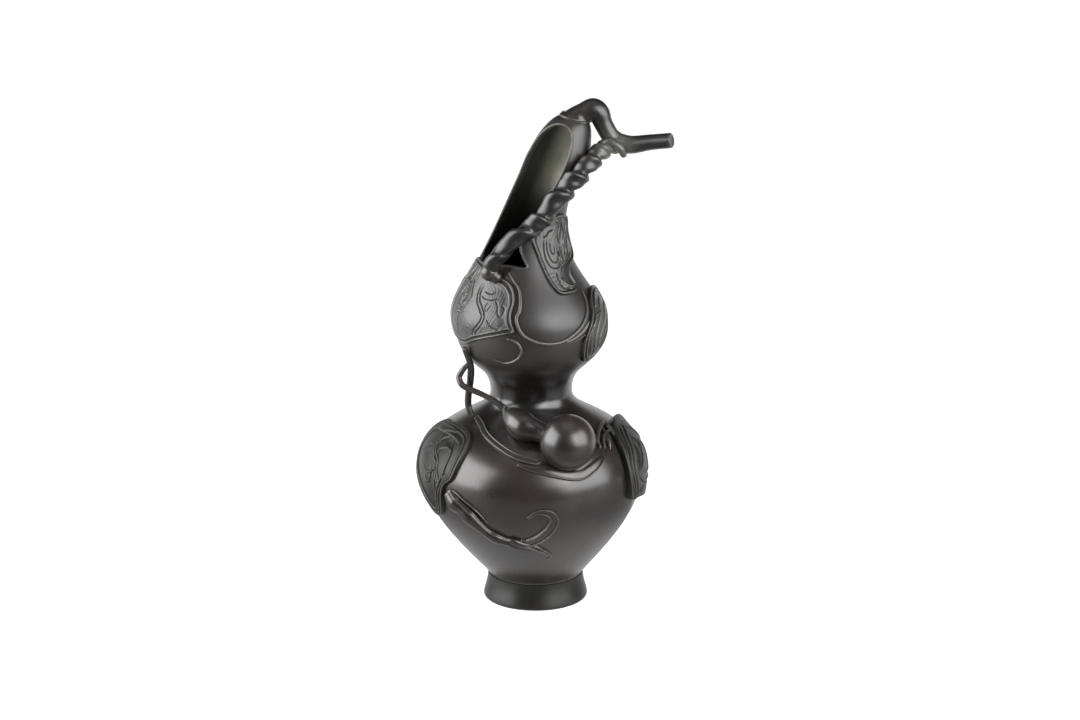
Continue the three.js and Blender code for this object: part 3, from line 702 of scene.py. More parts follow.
class VaseSizes(bpy.types.PropertyGroup):
    """Sizes of the cast detail, and how finely it is made."""

    wall_sides: bpy.props.IntProperty(
        name="Wall sides", description="Facets round the gourd", min=48, max=360, default=224
    )
    leaf_sides: bpy.props.IntProperty(
        name="Leaf sides", description="Points round a leaf's outline", min=60, max=480, default=390
    )
    lip_proud: bpy.props.FloatProperty(
        name="Lip", description="How far the mouth's lip stands off the wall, in millimetres",
        min=0, max=2, default=0.08,
    )
    vine_radius: bpy.props.FloatProperty(
        name="Vine radius", description="Half the vine's width, in millimetres", min=2, max=8, default=4.3
    )
    vine_swell: bpy.props.FloatProperty(
        name="Vine swell", description="How much the vine's bark swells past its radius",
        min=0.8, max=1.5, default=1.14,
    )
    vine_rims: bpy.props.FloatProperty(
        name="Vine rims", description="How strongly the rims of the vine's sheaths stand out",
        min=0, max=2, default=1,
    )
    vein_height: bpy.props.FloatProperty(
        name="Vein height", description="How far a leaf's veins stand up, in millimetres",
        min=0, max=2, default=0.5,
    )


# Gourd body, foot and mouth

# Into how many steps each stretch of the wall goes
GOURD_STEPS = (44, 46, 40, 60, 12, 26)


def lathe_rail(profile, lean=True):
    """A rail of level rings for a (radius, height) profile, leaning with the gourd where asked."""
    radius, height = np.asarray(profile, float).T
    none = np.zeros_like(radius)
    shift = lean_at(height) if lean else none
    tilt = tilt_at(height) if lean else none
    return (
        np.stack([shift, none, height], axis=1),
        np.stack([radius, none, -radius * tilt], axis=1),
        np.stack([none, radius, none], axis=1),
    )


def gourd_profile():
    """The outline of the hollow wall: up its outside, and down its inside in fewer steps."""
    outer, rough = [JOINT], [JOINT]
    for part, steps in zip(STRETCHES, GOURD_STEPS):
        outer.extend(bezier(part, steps)[1:])
        rough.extend(bezier(part, steps // 3)[1:])
    rough = np.array(rough)
    inner = rough - WALL * np.stack(wall_normal(rough[:, 1]), axis=1)
    inner[0, 1] = JOINT[1]
    return np.concatenate([outer, [(0, CROWN[1]), (0, inner[-1, 1])], inner[::-1], outer[:1]])


# Half widths of the mouth at heights above its lip, on the side of the stem and on the open side
MOUTH_SHARES = [
    (1.12, 0), (0.86, 0.07), (0.64, 0.14), (0.72, 0.26), (0.86, 0.38), (0.95, 0.54), (1, 0.68), (0.93, 0.8),
    (0.7, 0.92), (0.3, 0.99), (-0.3, 1), (-0.78, 0.92), (-1, 0.78), (-1, 0.5), (-1.06, 0.3), (-1.22, 0.14),
    (-1.4, 0.02), (-0.5, -0.006), (0.4, 0.006),
]
MOUTH_STEPS = 1200
FORWARD = np.array([math.cos(MOUTH_AZIMUTH), math.sin(MOUTH_AZIMUTH), 0.0])
SIDEWAYS = np.array([-math.sin(MOUTH_AZIMUTH), math.cos(MOUTH_AZIMUTH), 0.0])


def mouth_line(count):
    """Points round the mouth, as where they lie across, how high, and where the cut begins in depth."""
    corners = np.array(MOUTH_SHARES) * [MOUTH_HALF_WIDTH, MOUTH_HEIGHT] + [0, MOUTH_LIP_HEIGHT]
    line = evenly(smooth_line(corners, MOUTH_STEPS, closed=True), count, closed=True)
    across = line[:, 0] + lean_at(line[:, 1]) * SIDEWAYS[0]
    depth = MOUTH_BACK_INSET + lean_at(line[:, 1]) * FORWARD[0]
    return across, line[:, 1], depth


def mouth_points(across, height, depth):
    flat = across[:, None] * SIDEWAYS + np.asarray(depth).reshape(-1, 1) * FORWARD
    return flat + height[:, None] * np.array([0, 0, 1.0])


def mouth_cutter(count=260):
    """A solid that cuts the mouth, from inside the neck to well outside it."""
    across, height, depth = mouth_line(count)
    shell = bmesh.new()
    near, far = (
        [shell.verts.new(point) for point in placed(mouth_points(across, height, reach))]
        for reach in (depth, np.full(count, CUT_OVERRUN))
    )
    shell.faces.new(near)
    shell.faces.new(far[::-1])
    for i in range(count):
        j = (i + 1) % count
        shell.faces.new((near[j], near[i], far[i], far[j]))
    bmesh.ops.triangulate(shell, faces=[face for face in shell.faces if len(face.verts) > 4])
    bmesh.ops.recalc_face_normals(shell, faces=shell.faces)
    mesh = poured(shell, "mouth_cutter")
    mesh.materials.append(finish_named("dark_bronze"))
    return outward(mesh)


LIP_HALF_WIDTH = 0.75
LIP_SIDES = 24
LIP_ROUNDNESS = 0.7
LIP_ROUNDS = 3
RAY_STEP = 0.01

# From which share of the wall's thickness a face belongs to its inside, and how few points mean a failed cut
INSIDE_SHARE = 0.6
FEWEST_POINTS = 1000


def lip_rail(walls, proud, count=300):
    """Rings round the cut edge of the mouth, each as long as the wall is thick there."""
    across, height, depth = mouth_line(count)
    tree = BVHTree.FromPolygons(
        [vertex.co for vertex in walls.vertices], [face.vertices for face in walls.polygons]
    )
    outer, inner = [], []
    for start, back in zip(mouth_points(across, height, np.full(count, CUT_OVERRUN)), depth):
        first = tree.ray_cast(placed(start), -FORWARD)[3] / MM
        past = first + RAY_STEP
        second = past + tree.ray_cast(placed(start - FORWARD * past), -FORWARD)[3] / MM
        outer.append(start - FORWARD * first)
        inner.append(start - FORWARD * min(second, CUT_OVERRUN - back))
    for _ in range(LIP_ROUNDS):
        outer, inner = (
            line / 2 + (np.roll(line, 1, axis=0) + np.roll(line, -1, axis=0)) / 4
            for line in (np.array(outer), np.array(inner))
        )
    centres = (outer + inner) / 2
    half = (outer - inner) / 2
    half += unit(half) * proud
    ahead = unit(np.roll(centres, -1, axis=0) - np.roll(centres, 1, axis=0))
    up = unit(np.cross(ahead, half)) * (LIP_HALF_WIDTH + proud)
    return [np.concatenate([row, row[:1]]) for row in (centres, half, up)]


class VASE_OT_body(bpy.types.Operator):
    """Makes the hollow double gourd with its mouth and rounded lip"""

    bl_idname = "vase.body"
    bl_label = "Gourd body"

    def execute(self, context):
        sizes = context.scene.vase_sizes
        bronzes = [finish_named("dark_bronze"), finish_named("inner_bronze")]
        walls = ring_skin(lathe_rail(gourd_profile()), bronzes[0], sizes.wall_sides)
        lip = ring_skin(lip_rail(walls, sizes.lip_proud), bronzes[0], LIP_SIDES, LIP_ROUNDNESS)
        whole = linked("walls", walls)
        cutter = linked("cutter", mouth_cutter())
        cut = whole.modifiers.new("mouth", "BOOLEAN")
        cut.operation = "DIFFERENCE"
        cut.solver = "MANIFOLD"
        cut.object = cutter
        body = plain_mesh(whole)
        discard(cutter)
        if len(body.vertices) < FEWEST_POINTS:
            raise RuntimeError("the mouth's cut left no wall")
        body.materials.clear()
        for finish in bronzes:
            body.materials.append(finish)
        spots = (np.array([face.center for face in body.polygons]) - GOURD_AXIS) / MM
        height = spots[:, 2]
        out = np.hypot(spots[:, 0] - lean_at(height), spots[:, 1])
        inside = out < radius_at(height) - INSIDE_SHARE * WALL / wall_normal(height)[0]
        body.polygons.foreach_set("material_index", inside.astype(np.int32))
        make_piece("gourd_body", [body, lip], "dark_bronze", ["lower_gourd", "upper_gourd"], sharp=50)
        return {"FINISHED"}


FOOT_FLARE = [
    (FOOT_RADIUS, 1.6), (FOOT_RADIUS - 0.7, 5.5), (FOOT_TOP_RADIUS + 0.2, 9), (FOOT_TOP_RADIUS, FOOT_HEIGHT),
]
FOOT_HEEL = [(FOOT_RADIUS - 1.6, 0), (FOOT_RADIUS - 0.6, 0), (FOOT_RADIUS, 0.6), (FOOT_RADIUS, 1.6)]
FOOT_BORE = [
    (FOOT_LEDGE_RADIUS, FOOT_HEIGHT), (FOOT_LEDGE_RADIUS, FOOT_LEDGE_HEIGHT),
    (FOOT_BORE_RADIUS, FOOT_LEDGE_HEIGHT), (FOOT_BORE_RADIUS, 0.5), (FOOT_BORE_RADIUS + 0.5, 0),
]


class VASE_OT_foot(bpy.types.Operator):
    """Makes the flared foot, and finishes the plate let into it"""

    bl_idname = "vase.foot"
    bl_label = "Foot"

    def execute(self, context):
        heel = bezier(FOOT_HEEL, 10)
        rail = lathe_rail(np.concatenate([heel, bezier(FOOT_FLARE, 24)[1:], FOOT_BORE, heel[:1]]), lean=False)
        ring = ring_skin(rail, finish_named("foot_bronze"), context.scene.vase_sizes.wall_sides)
        make_piece("foot", [ring], "green_bronze", ["foot_ring"], sharp=40)
        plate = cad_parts["base_plate"].data
        plate.materials.clear()
        plate.materials.append(finish_named("dark_bronze"))
        return {"FINISHED"}


# Stem, cut branch and vine

CROWN_CENTRE = leant(0.0, 0.0, CROWN[1])
STEM_RADIUS = 6.0
STEM_RISE = 5.0
STEM_REACH = 23.7
STEM_DROP = 17.7
STEM_STEPS = 110
LIMB_SIDES = 64

# The stem's line, in shares of its reach, its rise and its drop
STEM_SHARES = [
    (0, 0.05, 0), (0.2, 0.48, 0), (0.443, 1, 0), (0.565, 1, 0.113), (0.654, 1, 0.384), (0.734, 1, 0.593),
    (0.83, 1, 0.8), (1, 1, 1),
]
STEM_POINTS = CROWN_CENTRE + np.array(
    [(reach * STEM_REACH, 0, rise * STEM_RISE - drop * STEM_DROP) for reach, rise, drop in STEM_SHARES]
)
STEM_WIDTHS = [1.32, 1.02, 1.02, 0.97, 0.86, 0.82, 0.82, 0.84]
JUNCTION = STEM_POINTS[-1]

# The pale bloom where stem, branch and vine meet: its offset in millimetres, and its reach in metres
BLOOM_OFFSET = np.array([-2.5, -5.0, -2.0])
BLOOM_REACH = 0.016

BRANCH_RADIUS = 4.15
BRANCH_FACE_DEPTH = 1.2
BRANCH_STEPS = 70
BRANCH_SIDES = 48
BRANCH_POINTS = JUNCTION + np.array([(-3, 0, 0.6), (6.2, -1.5, -1.0), (16.8, -5.5, 1.0), (27.4, -9.8, 2.8)])
BRANCH_WIDTHS = [1.3, 1.18, 1.02, 0.98]

# The branch's cut end: how far out in millimetres, and the share of its radius there
BRANCH_END = [(0.3, 1.0), (0.75, 0.95), (1.0, 0.86), (1.02, 0.74), (0.85, 0.66), (0.8, 0.6), (0.72, 0)]

COLLAR_RADIUS = 8.0
COLLAR_HEIGHT = 1.8
COLLAR_ROOT = 1.2
STEM_TURN_SHARE = 0.22


def collar_rail():
    """The collar's rings lie square to the tilted crown."""
    lip = COLLAR_HEIGHT / 3
    seat = CLEARANCE - COLLAR_ROOT
    bead = [
        (COLLAR_RADIUS - lip + lip * math.sin(t), seat + COLLAR_ROOT + lip - lip * math.cos(t))
        for t in np.linspace(0, math.pi, 9)
    ]
    inset = [(COLLAR_RADIUS - 1.6 * lip, COLLAR_HEIGHT + 0.8), (0, COLLAR_HEIGHT + 1.2)]
    profile = np.array([(0, seat), (COLLAR_RADIUS - lip, seat), *bead, *inset])
    radius, height = profile[:, :1], profile[:, 1:]
    sine, cosine = math.sin(CROWN_TILT), math.cos(CROWN_TILT)
    return (
        CROWN_CENTRE + height * np.array([sine, 0, cosine]),
        radius * np.array([cosine, 0, -sine]),
        radius * np.array([0, 1.0, 0]),
    )


def stem_rail(count):
    """The stem's rings lie flat on the collar and turn square to its line further on."""
    line = smooth_line(STEM_POINTS, count)
    across, up = frames_along(line)
    share = np.clip(np.linspace(0, 1, count) / STEM_TURN_SHARE, 0, 1)[:, None]
    share = share**2 * (3 - 2 * share)
    up = unit((1 - share) * np.array([-math.cos(CROWN_TILT), 0, math.sin(CROWN_TILT)]) + share * up)
    radii = STEM_RADIUS * eased(STEM_WIDTHS, count) * (1 + 0.008 * np.sin(np.linspace(0, 19, count)))
    rows = rounded_ends((line, across * radii[:, None], up * radii[:, None]))
    first = (line[0] - np.array([0, 0, 1.0]), np.zeros(3), np.zeros(3))
    return [np.concatenate([[low], row[CAP_RINGS:]]) for low, row in zip(first, rows)]


class VASE_OT_stem(bpy.types.Operator):
    """Makes the collar, the bent stem and the cut branch"""

    bl_idname = "vase.stem"
    bl_label = "Stem and branch"

    def execute(self, context):
        finish = finish_named("limb_bronze")
        limb = [ring_skin(rail, finish, LIMB_SIDES) for rail in (stem_rail(STEM_STEPS), collar_rail())]
        make_piece("stem_and_collar", limb, "dark_bronze", ["stem"])

        line = smooth_line(BRANCH_POINTS, BRANCH_STEPS)
        axes = frames_along(line)
        radii = BRANCH_RADIUS * eased(BRANCH_WIDTHS, BRANCH_STEPS)
        ahead = unit(line[-1] - line[-2])
        line = np.concatenate([line, [line[-1] + ahead * out for out, _ in BRANCH_END]])
        radii = np.concatenate([radii, [radii[-1] * share for _, share in BRANCH_END]])[:, None]
        radii[0] = 0
        rings = [
            np.concatenate([axis, np.repeat(axis[-1:], len(BRANCH_END), axis=0)]) * radii for axis in axes
        ]
        stub = ring_skin((line, *rings), finish, BRANCH_SIDES)
        stub.materials.append(finish_named("brown_bronze"))
        end = placed(line[-1] - BRANCH_FACE_DEPTH * ahead)
        for face in stub.polygons:
            if (np.array(face.center) - end) @ ahead > 0:
                face.material_index = len(stub.materials) - 1
        make_piece("cut_branch_stub", [stub], "dark_bronze", ["cut_branch"])
        return {"FINISHED"}


# The vine's line: azimuth, share of the upper height, and how far it stands off the wall in its own radii
VINE_SHARES = [
    (-12, 1.131, 1.82), (-23, 1.11, 1.34), (-38, 1.072, 1.22), (-51, 1.02, 1.3), (-61, 0.97, 1.36),
    (-70, 0.928, 1.42), (-75, 0.876, 1.5), (-85, 0.833, 1.6), (-95, 0.799, 1.7), (-106, 0.76, 1.9),
    (-113, 0.72, 2), (-120, 0.679, 2), (-125, 0.635, 1.75),
]
VINE_WIDTHS = [0.9, 0.93, 0.92, 0.98, 1.05, 1.02, 1, 0.97, 0.95, 0.95, 0.93, 0.88]

# Where along the vine each sheath's rim crosses its front, how strongly the sheaths swell along it, and a
# sheath's width from its rim to the next
VINE_NODES = [(0, -0.7), (0.08, 0), (0.17, 1), (0.29, 2), (0.415, 3), (0.6, 4), (0.7, 5), (0.9, 6), (1, 6.6)]
VINE_STRENGTHS = [(0, 0.9), (0.15, 1.5), (0.35, 1.5), (0.45, 1.2), (0.6, 1.4), (0.75, 0.9), (1, 0.4)]
SHEATH = [0.84, 1.12, 1.2, 1.15, 1.08, 1.05, 1.04, 1, 0.93, 0.87, 0.84]
VINE_STEPS = 420
VINE_FLATNESS = 0.07

# The tendril wound round the junction, from which its points are measured
VINE_WRAP = np.array([
    (-10, -3, -0.2), (-5.6, -5, 1.2), (-2.3, -5.8, 0.3), (1.5, -5.6, -2.9), (3.1, -3.5, -6.3),
])
WRAP_RADIUS = 2.3
WRAP_WIDTHS = [0.7, 1, 1, 1, 0.8]
WRAP_STEPS = 60

# The knob, and how its heel lies to it: turned, lower, so far off the wall, and so much smaller
BOSS_AZIMUTH = -127.4
BOSS_LEVEL = 0.586
BOSS_RADIUS = 4.8
BOSS_SIDES = 56
HEEL_TURN = 6
HEEL_DROP = 0.012
HEEL_STAND = 2.2
HEEL_SHARE = 0.7
HEEL_SIDES = 48

# How finely two skins are melted into one, in millimetres, and in how many rounds they are eased
VINE_MELT = (0.36, 13)
BOSS_MELT = (0.34, 18)
BOSS_STAND = 2 * CLEARANCE + 0.8 + 2 * BOSS_RADIUS / 3


def vine_line(count, radius):
    rows = [JUNCTION - np.array([radius / 3, 0, radius / 3])]
    for azimuth, share, stand in VINE_SHARES:
        height = upper_level(share)
        rows.append(air_point(azimuth, height, radius_at(height) + stand * radius))
    return evenly(smooth_line(rows, 600), count)


def wind_sheaths(limb, line, strength):
    """Swells a tube into sheaths that overlap, with rims that wind once round it from one to the next."""
    across, up = frames_along(line)
    facing = np.arctan2(-up[:, 1], -across[:, 1])
    spots = (read(limb.vertices, "co", 3) - GOURD_AXIS) / MM
    reach = (spots**2).sum(1)[:, None] + (line**2).sum(1)[None, :] - 2 * spots @ line.T
    nearest = reach.argmin(axis=1)
    share = nearest / (len(line) - 1)
    out = spots - line[nearest]
    turn = np.arctan2((out * up[nearest]).sum(1), (out * across[nearest]).sum(1)) - facing[nearest]
    turn = (turn + math.pi) % (2 * math.pi) - math.pi
    steps = np.interp(share, *zip(*VINE_NODES)) - turn / (2 * math.pi)
    strength = strength * np.interp(share, *zip(*VINE_STRENGTHS))
    swell = 1 + strength * (np.interp(steps % 1, np.linspace(0, 1, 121), eased(SHEATH, 121)) - 1)
    swell += VINE_FLATNESS * np.cos(2 * turn - 2 * math.pi * steps)
    limb.vertices.foreach_set("co", placed(line[nearest] + out * swell[:, None]).ravel())


class VASE_OT_vine(bpy.types.Operator):
    """Makes the twisted vine across the mouth and the knob where it ends"""

    bl_idname = "vase.vine"
    bl_label = "Twisted vine"

    def execute(self, context):
        sizes = context.scene.vase_sizes
        line = vine_line(VINE_STEPS, sizes.vine_radius)
        widths = sizes.vine_radius * sizes.vine_swell * eased(VINE_WIDTHS, VINE_STEPS)
        bark = finish_named("limb_bronze")
        limb = ring_skin(tube_rail(line, widths), bark, LIMB_SIDES)
        wind_sheaths(limb, line, sizes.vine_rims)
        tendril = smooth_line(JUNCTION + VINE_WRAP, WRAP_STEPS)
        wrap = tube_rail(tendril, WRAP_RADIUS * eased(WRAP_WIDTHS, WRAP_STEPS))
        whole = fused([limb, ring_skin(wrap, bark)], bark, *VINE_MELT)
        make_piece("vine", [whole], "dark_bronze", ["twisted_vine"], soften=8)

        centre = wall_point(BOSS_AZIMUTH, upper_level(BOSS_LEVEL), BOSS_STAND)
        heel = wall_point(BOSS_AZIMUTH + HEEL_TURN, upper_level(BOSS_LEVEL - HEEL_DROP), HEEL_STAND)
        brown = finish_named("brown_bronze")
        knob = [
            ring_skin(ball(centre, BOSS_RADIUS), brown, BOSS_SIDES),
            ring_skin(ball(heel, HEEL_SHARE * BOSS_RADIUS), brown, HEEL_SIDES),
        ]
        make_piece("vine_knob", [fused(knob, brown, *BOSS_MELT)], "brown_bronze", ["vine_boss"], soften=20)
        return {"FINISHED"}


# Leaves

THIN_LEAF = 1.6
MEDIUM_LEAF = 2.1
THICK_LEAF = 3.2
OUTLINE_STEPS = 2000

# The leaves: half width and half height in millimetres, and the outline in shares of them
LEAVES = {
    "shoulder_leaf": {
        "border": "double", "azimuth": -144, "level": upper_level, "share": 0.45, "half": (31.4, 21.5),
        "thick": THIN_LEAF, "slot": "dark_bronze", "finish": "dark_leaf",
        "outline": [
            (-0.39, 1), (-0.08, 0.98), (0.18, 0.86), (0.41, 0.73), (0.6, 0.64), (0.76, 0.45), (0.86, 0.19),
            (0.89, -0.08), (0.93, -0.25), (1, -0.49), (0.82, -0.58), (0.51, -0.71), (0.22, -0.85),
            (-0.04, -1), (-0.38, -0.93), (-0.6, -0.74), (-0.7, -0.44), (-0.71, -0.02), (-0.6, 0.44),
            (-0.5, 0.81),
        ],
    },
    "back_leaf": {
        "border": "double", "azimuth": 166, "level": upper_level, "share": 0.4, "half": (14, 14.5),
        "thick": THIN_LEAF, "slot": "dark_bronze", "finish": "dark_leaf",
        "outline": [
            (0.55, 0.8), (0.68, 0.17), (0.74, -0.42), (0.55, -0.9), (0.05, -1), (-0.61, -0.72), (-1, -0.1),
            (-0.79, 0.59), (-0.35, 1), (0.2, 0.98),
        ],
    },
    "side_leaf": {
        "border": "double", "azimuth": -17, "level": upper_level, "share": 0.346, "half": (20.2, 17.8),
        "thick": MEDIUM_LEAF, "slot": "dark_bronze", "finish": "dark_leaf",
        "outline": [
            (0.13, 1), (-0.32, 0.78), (-0.52, 0.48), (-0.79, 0.12), (-0.98, -0.23), (-1, -0.58),
            (-0.83, -0.99), (-0.5, -0.98), (-0.2, -0.8), (0.17, -0.6), (0.58, -0.35), (0.88, 0.04),
            (0.98, 0.49), (0.7, 0.89),
        ],
    },
    "neck_leaf": {
        "border": "narrow", "azimuth": -40, "level": upper_level, "share": 0.691, "half": (16.5, 22.8),
        "thick": THIN_LEAF, "slot": "green_bronze", "finish": "dark_leaf",
        "outline": [
            (-0.47, 0.69), (-0.77, 0.5), (-0.98, 0.3), (-0.93, 0.08), (-0.87, -0.12), (-0.83, -0.38),
            (-0.79, -0.65), (-0.72, -0.87), (-0.6, -0.97), (-0.3, -1), (0.08, -0.97), (0.22, -0.83),
            (0.17, -0.6), (0.28, -0.44), (0.62, -0.36), (0.9, -0.24), (1, -0.06), (0.84, 0.15), (0.62, 0.38),
            (0.5, 0.62), (0.26, 0.77), (-0.12, 0.8),
        ],
    },
    "belly_leaf": {
        "border": "band", "azimuth": -159, "level": lower_level, "share": 0.625, "half": (27.8, 23.3),
        "thick": MEDIUM_LEAF, "slot": "green_bronze", "finish": "green_leaf",
        "outline": [
            (-0.25, 0.97), (0.2, 1), (0.72, 0.89), (0.96, 0.56), (0.98, 0.06), (0.8, -0.14), (0.7, -0.53),
            (0.51, -0.91), (0.22, -1), (-0.07, -0.76), (-0.42, -0.46), (-0.81, -0.12), (-1, 0.27),
            (-0.92, 0.65), (-0.59, 0.91),
        ],
    },
    "folded_leaf": {
        "border": "plain", "azimuth": -5, "level": lower_level, "share": 0.648, "half": (32.2, 19.8),
        "thick": THICK_LEAF, "slot": "green_bronze", "finish": "green_leaf",
        "outline": [
            (0.37, 0.92), (-0.06, 1), (-0.36, 0.95), (-0.66, 0.7), (-0.85, 0.36), (-0.95, -0.11),
            (-0.93, -0.57), (-0.87, -0.8), (-0.6, -0.86), (-0.1, -0.99), (0.29, -0.87), (0.7, -0.46),
            (0.94, 0.04), (0.9, 0.49), (0.63, 0.8),
        ],
    },
}

# Veins, folds and grooves of each leaf: points in millimetres from the leaf's middle, half width, height in
# vein heights (a groove's is below zero), and for a pair of lines how far each lies from the middle
VEINS = {
    "shoulder_leaf": [
        (
            [
                (4.5, 10), (4.7, 6), (6.5, 2.3), (9.7, -0.7), (12.5, -4.6), (11.2, -8.6), (8, -12.2),
                (6.2, -16),
            ],
            0.4, -0.8, 0.9,
        ),
        (
            [(-4.7, 17), (-5.8, 12.2), (-6.9, 6.3), (-7.4, 0.7), (-7.6, -6), (-8.2, -12), (-6.5, -18)],
            0.5, 0.9,
        ),
        (
            [
                (-7, 18.5), (-9, 15), (-13, 11.5), (-14, 9.5), (-8.4, 10.3), (-6, 9), (-9, 6.5), (-11, 3),
                (-14, -0.5),
            ],
            0.5, 1,
        ),
        ([(-3, 17), (-3.5, 12), (-2, 7.5), (0, 3), (-3, -2.5), (-9, -5.5)], 0.5, 0.9),
        ([(-13, 18), (-16, 13), (-17, 9)], 1.0, -0.8),
        ([(-6, 8), (-5, 3), (-7, -1)], 1.4, -0.5),
        ([(-11, -2.5), (-6, -2.2), (-3, 0.5)], 0.45, 0.7),
        ([(-10, -5), (-5, -5), (-1.5, -3)], 0.45, 0.7),
        ([(-12, 2.5), (-8, 2.5), (-5, 4.5)], 0.45, 0.7),
        ([(8.1, 7.6), (10.8, 6.9), (13.4, 7.1), (14.8, 8.5)], 0.34, -0.55),
        ([(6.8, 5.5), (9.8, 4.2), (13.8, 4), (17.9, 5.2)], 0.34, -0.55),
        ([(12.8, 3), (12.1, -0.2), (13.6, -1.6), (15.2, 1.6)], 0.34, -0.55),
        ([(16.9, 3.8), (19, 1.2), (20.6, -2.4), (22.6, -3.5), (23.3, 0), (21.2, 2)], 0.34, -0.55),
        ([(14.6, -5.2), (16.4, -7.4), (19, -9.4), (23, -10)], 0.34, -0.55),
    ],
    "side_leaf": [
        (
            [(3, 14.2), (-4.2, 11.4), (-8.2, 7.1), (-11.4, 3), (-13.6, -2), (-14.5, -8), (-12.6, -14.4)],
            0.5, 1,
        ),
        (
            [(7.5, 12.3), (0.2, 9.5), (-3.6, 5), (-7.4, 0.7), (-10.2, -4.9), (-10.8, -10.6), (-8.6, -15.6)],
            0.5, 1,
        ),
        ([(11, 8.6), (5, 6.5), (0.6, 2.3), (-3.8, -2.3), (-6.7, -8), (-6.6, -13)], 0.5, 1),
        ([(14, 5), (9, 1.5), (4, -2.5), (-1, -6.5), (-3.4, -10.5)], 0.5, 1),
        ([(-10.9, 6.2), (-6.8, 5.6), (-2.6, 6.2)], 0.4, 0.8),
        ([(-5.8, 9.6), (-8.8, 6.2)], 1, -1),
        ([(-16.6, -9), (-14.6, -14.5)], 0.9, -1),
    ],
    "neck_leaf": [
        ([(-9.9, 5.7), (-10.3, 0.5), (-10, -5.3), (-8.3, -8.6), (-4.7, -9.2), (-1.6, -7.2)], 0.4, -0.6),
        (
            [(-7.8, 6.6), (-8.5, 1.9), (-8, -2.9), (-6.4, -6.2), (-4.2, -6.3), (-2.2, -3.8), (-2.4, 0.5)],
            0.4, -0.55,
        ),
        ([(-6.1, 5.3), (-6.6, 1.2), (-5.7, -2.1), (-4.1, -1.3), (-4, 2.3)], 0.35, -0.5),
        ([(-10.2, 6.8), (-8.2, 7.9), (-6.9, 9.7), (-4.5, 10.2)], 0.45, -0.8),
        ([(-3.1, 16.7), (-0.6, 11.4), (-1.4, 6.7), (0.1, 1.7), (-1.3, -2.2), (-0.3, -6.1)], 0.5, 1.1),
        ([(1.5, 16.4), (2.2, 11.5), (4.4, 6.6), (2.6, 2.4), (4.2, -1.8), (1.6, -6.4)], 0.5, 1.1),
        ([(6.5, 13), (6, 8), (8, 3), (7, -2), (3.4, -6), (-1.8, -9)], 0.5, 1.1),
        ([(0.5, 13.7), (1.8, 8), (0.9, 3.6), (1.5, -1.3), (0.4, -5)], 0.7, -0.9),
        ([(-5.1, -15.4), (-3.9, -17.8), (-0.9, -19.2), (2.6, -19)], 0.7, 1.2),
        ([(-7.4, -17), (-5.8, -19.4), (-2, -20.4)], 0.5, -1),
        ([(-6.4, -11.4), (-6.9, -14.9), (-6.5, -17)], 0.5, -0.7),
        ([(9, -3.6), (3, -6.8), (-2.4, -10)], 0.5, -0.8),
    ],
    "belly_leaf": [
        ([(0.2, 13.5), (5.5, 9.9), (11, 7), (13.3, 1.9), (16.5, -3.3), (17, -9), (15.5, -13)], 0.5, 1.2, 0.8),
        ([(2, 12.5), (2, 16.4), (6.5, 18.6), (11.4, 18.2)], 0.5, 1),
        ([(9, 8.9), (7.4, 12.4), (11.7, 14.3), (16.9, 13.2)], 0.5, 1),
        ([(-4.5, 9.5), (1, 6.4), (5.2, 3.4)], 2.4, -1),
        ([(14.5, 15.5), (18.3, 11.5), (19.4, 5.5), (19.2, 0.5), (17.6, -5)], 0.5, 1.3),
        ([(3.5, 11), (8.5, 7.6), (10.6, 2), (13, -3), (13.6, -9), (12.5, -13.5)], 0.45, 1.1),
        ([(6, 4.6), (8.4, 0.5), (7.6, -3.6), (3.6, -4.2), (1.6, -1)], 0.45, 1.1),
        ([(-1, 15.5), (-1.5, 18.5), (3, 20), (8.5, 20.4)], 0.45, 1.1),
        ([(-2, 1.6), (4, 0.2), (9, 1.5), (12, 4)], 0.5, 1),
        ([(8, 16.6), (12, 16.2)], 1.3, -0.8),
        ([(-14, 6), (-9, 10.5), (-3, 13)], 0.5, 0.8),
        ([(3, -6), (8, -10.5), (12, -15)], 0.5, -0.4),
    ],
    "folded_leaf": [
        (
            [(-9.6, 18), (-16.5, 14.6), (-22, 9.6), (-27.5, 3.6), (-29, -3), (-28, -9), (-25.5, -14.6)],
            0.75, 2,
        ),
        (
            [(-6.1, 16.8), (-13.6, 13.6), (-19, 8.6), (-24.4, 2.6), (-26, -3.4), (-25.2, -9), (-23.4, -14.4)],
            0.65, 1.8,
        ),
        ([(-2, 15.6), (-10.4, 12.4), (-16, 7.6), (-21.2, 1.6), (-23, -4), (-22.4, -9), (-21, -14)], 0.6, 1.6),
        ([(-19.2, 12.2), (-24.8, 6.4), (-27.4, 0), (-27, -7), (-24.6, -13.6)], 0.4, -0.9),
        ([(-10, 9), (-13.4, 4.6), (-18, 0.4)], 2.2, -1.1),
        ([(-7, 11.6), (-3, 8.6), (-4.6, 4.6), (-9.4, 0.6), (-15.4, -3)], 0.55, 1.1),
        ([(-12, 10.2), (-8.6, 7.4), (-10.6, 3.6), (-14, 0.2), (-18.2, -2.6)], 0.45, 0.8),
        ([(-2, 15.6), (4, 13.4), (9.5, 9.6), (12.5, 4.8)], 0.5, 1.2),
        ([(-5, 5.5), (0, 7.5), (4.5, 5.5), (6, 1), (3, -3), (-2, -3)], 0.5, 1.1),
        ([(-12, -5), (-6, -6.5), (1, -7), (8, -4.5), (12, 0)], 0.5, 1.1),
        ([(-19, -6), (-13, -9.5), (-5, -10.5), (4, -11)], 0.5, 1.1),
        ([(-2, -13.6), (-9, -12.4), (-16, -12.6), (-20, -14)], 0.8, 1.2),
        ([(-4, -17.6), (-10, -16.4), (-17, -15.8)], 0.8, 1),
        ([(-3, -15.6), (-9.6, -14.4), (-17, -14.3)], 0.5, -1.2),
    ],
}


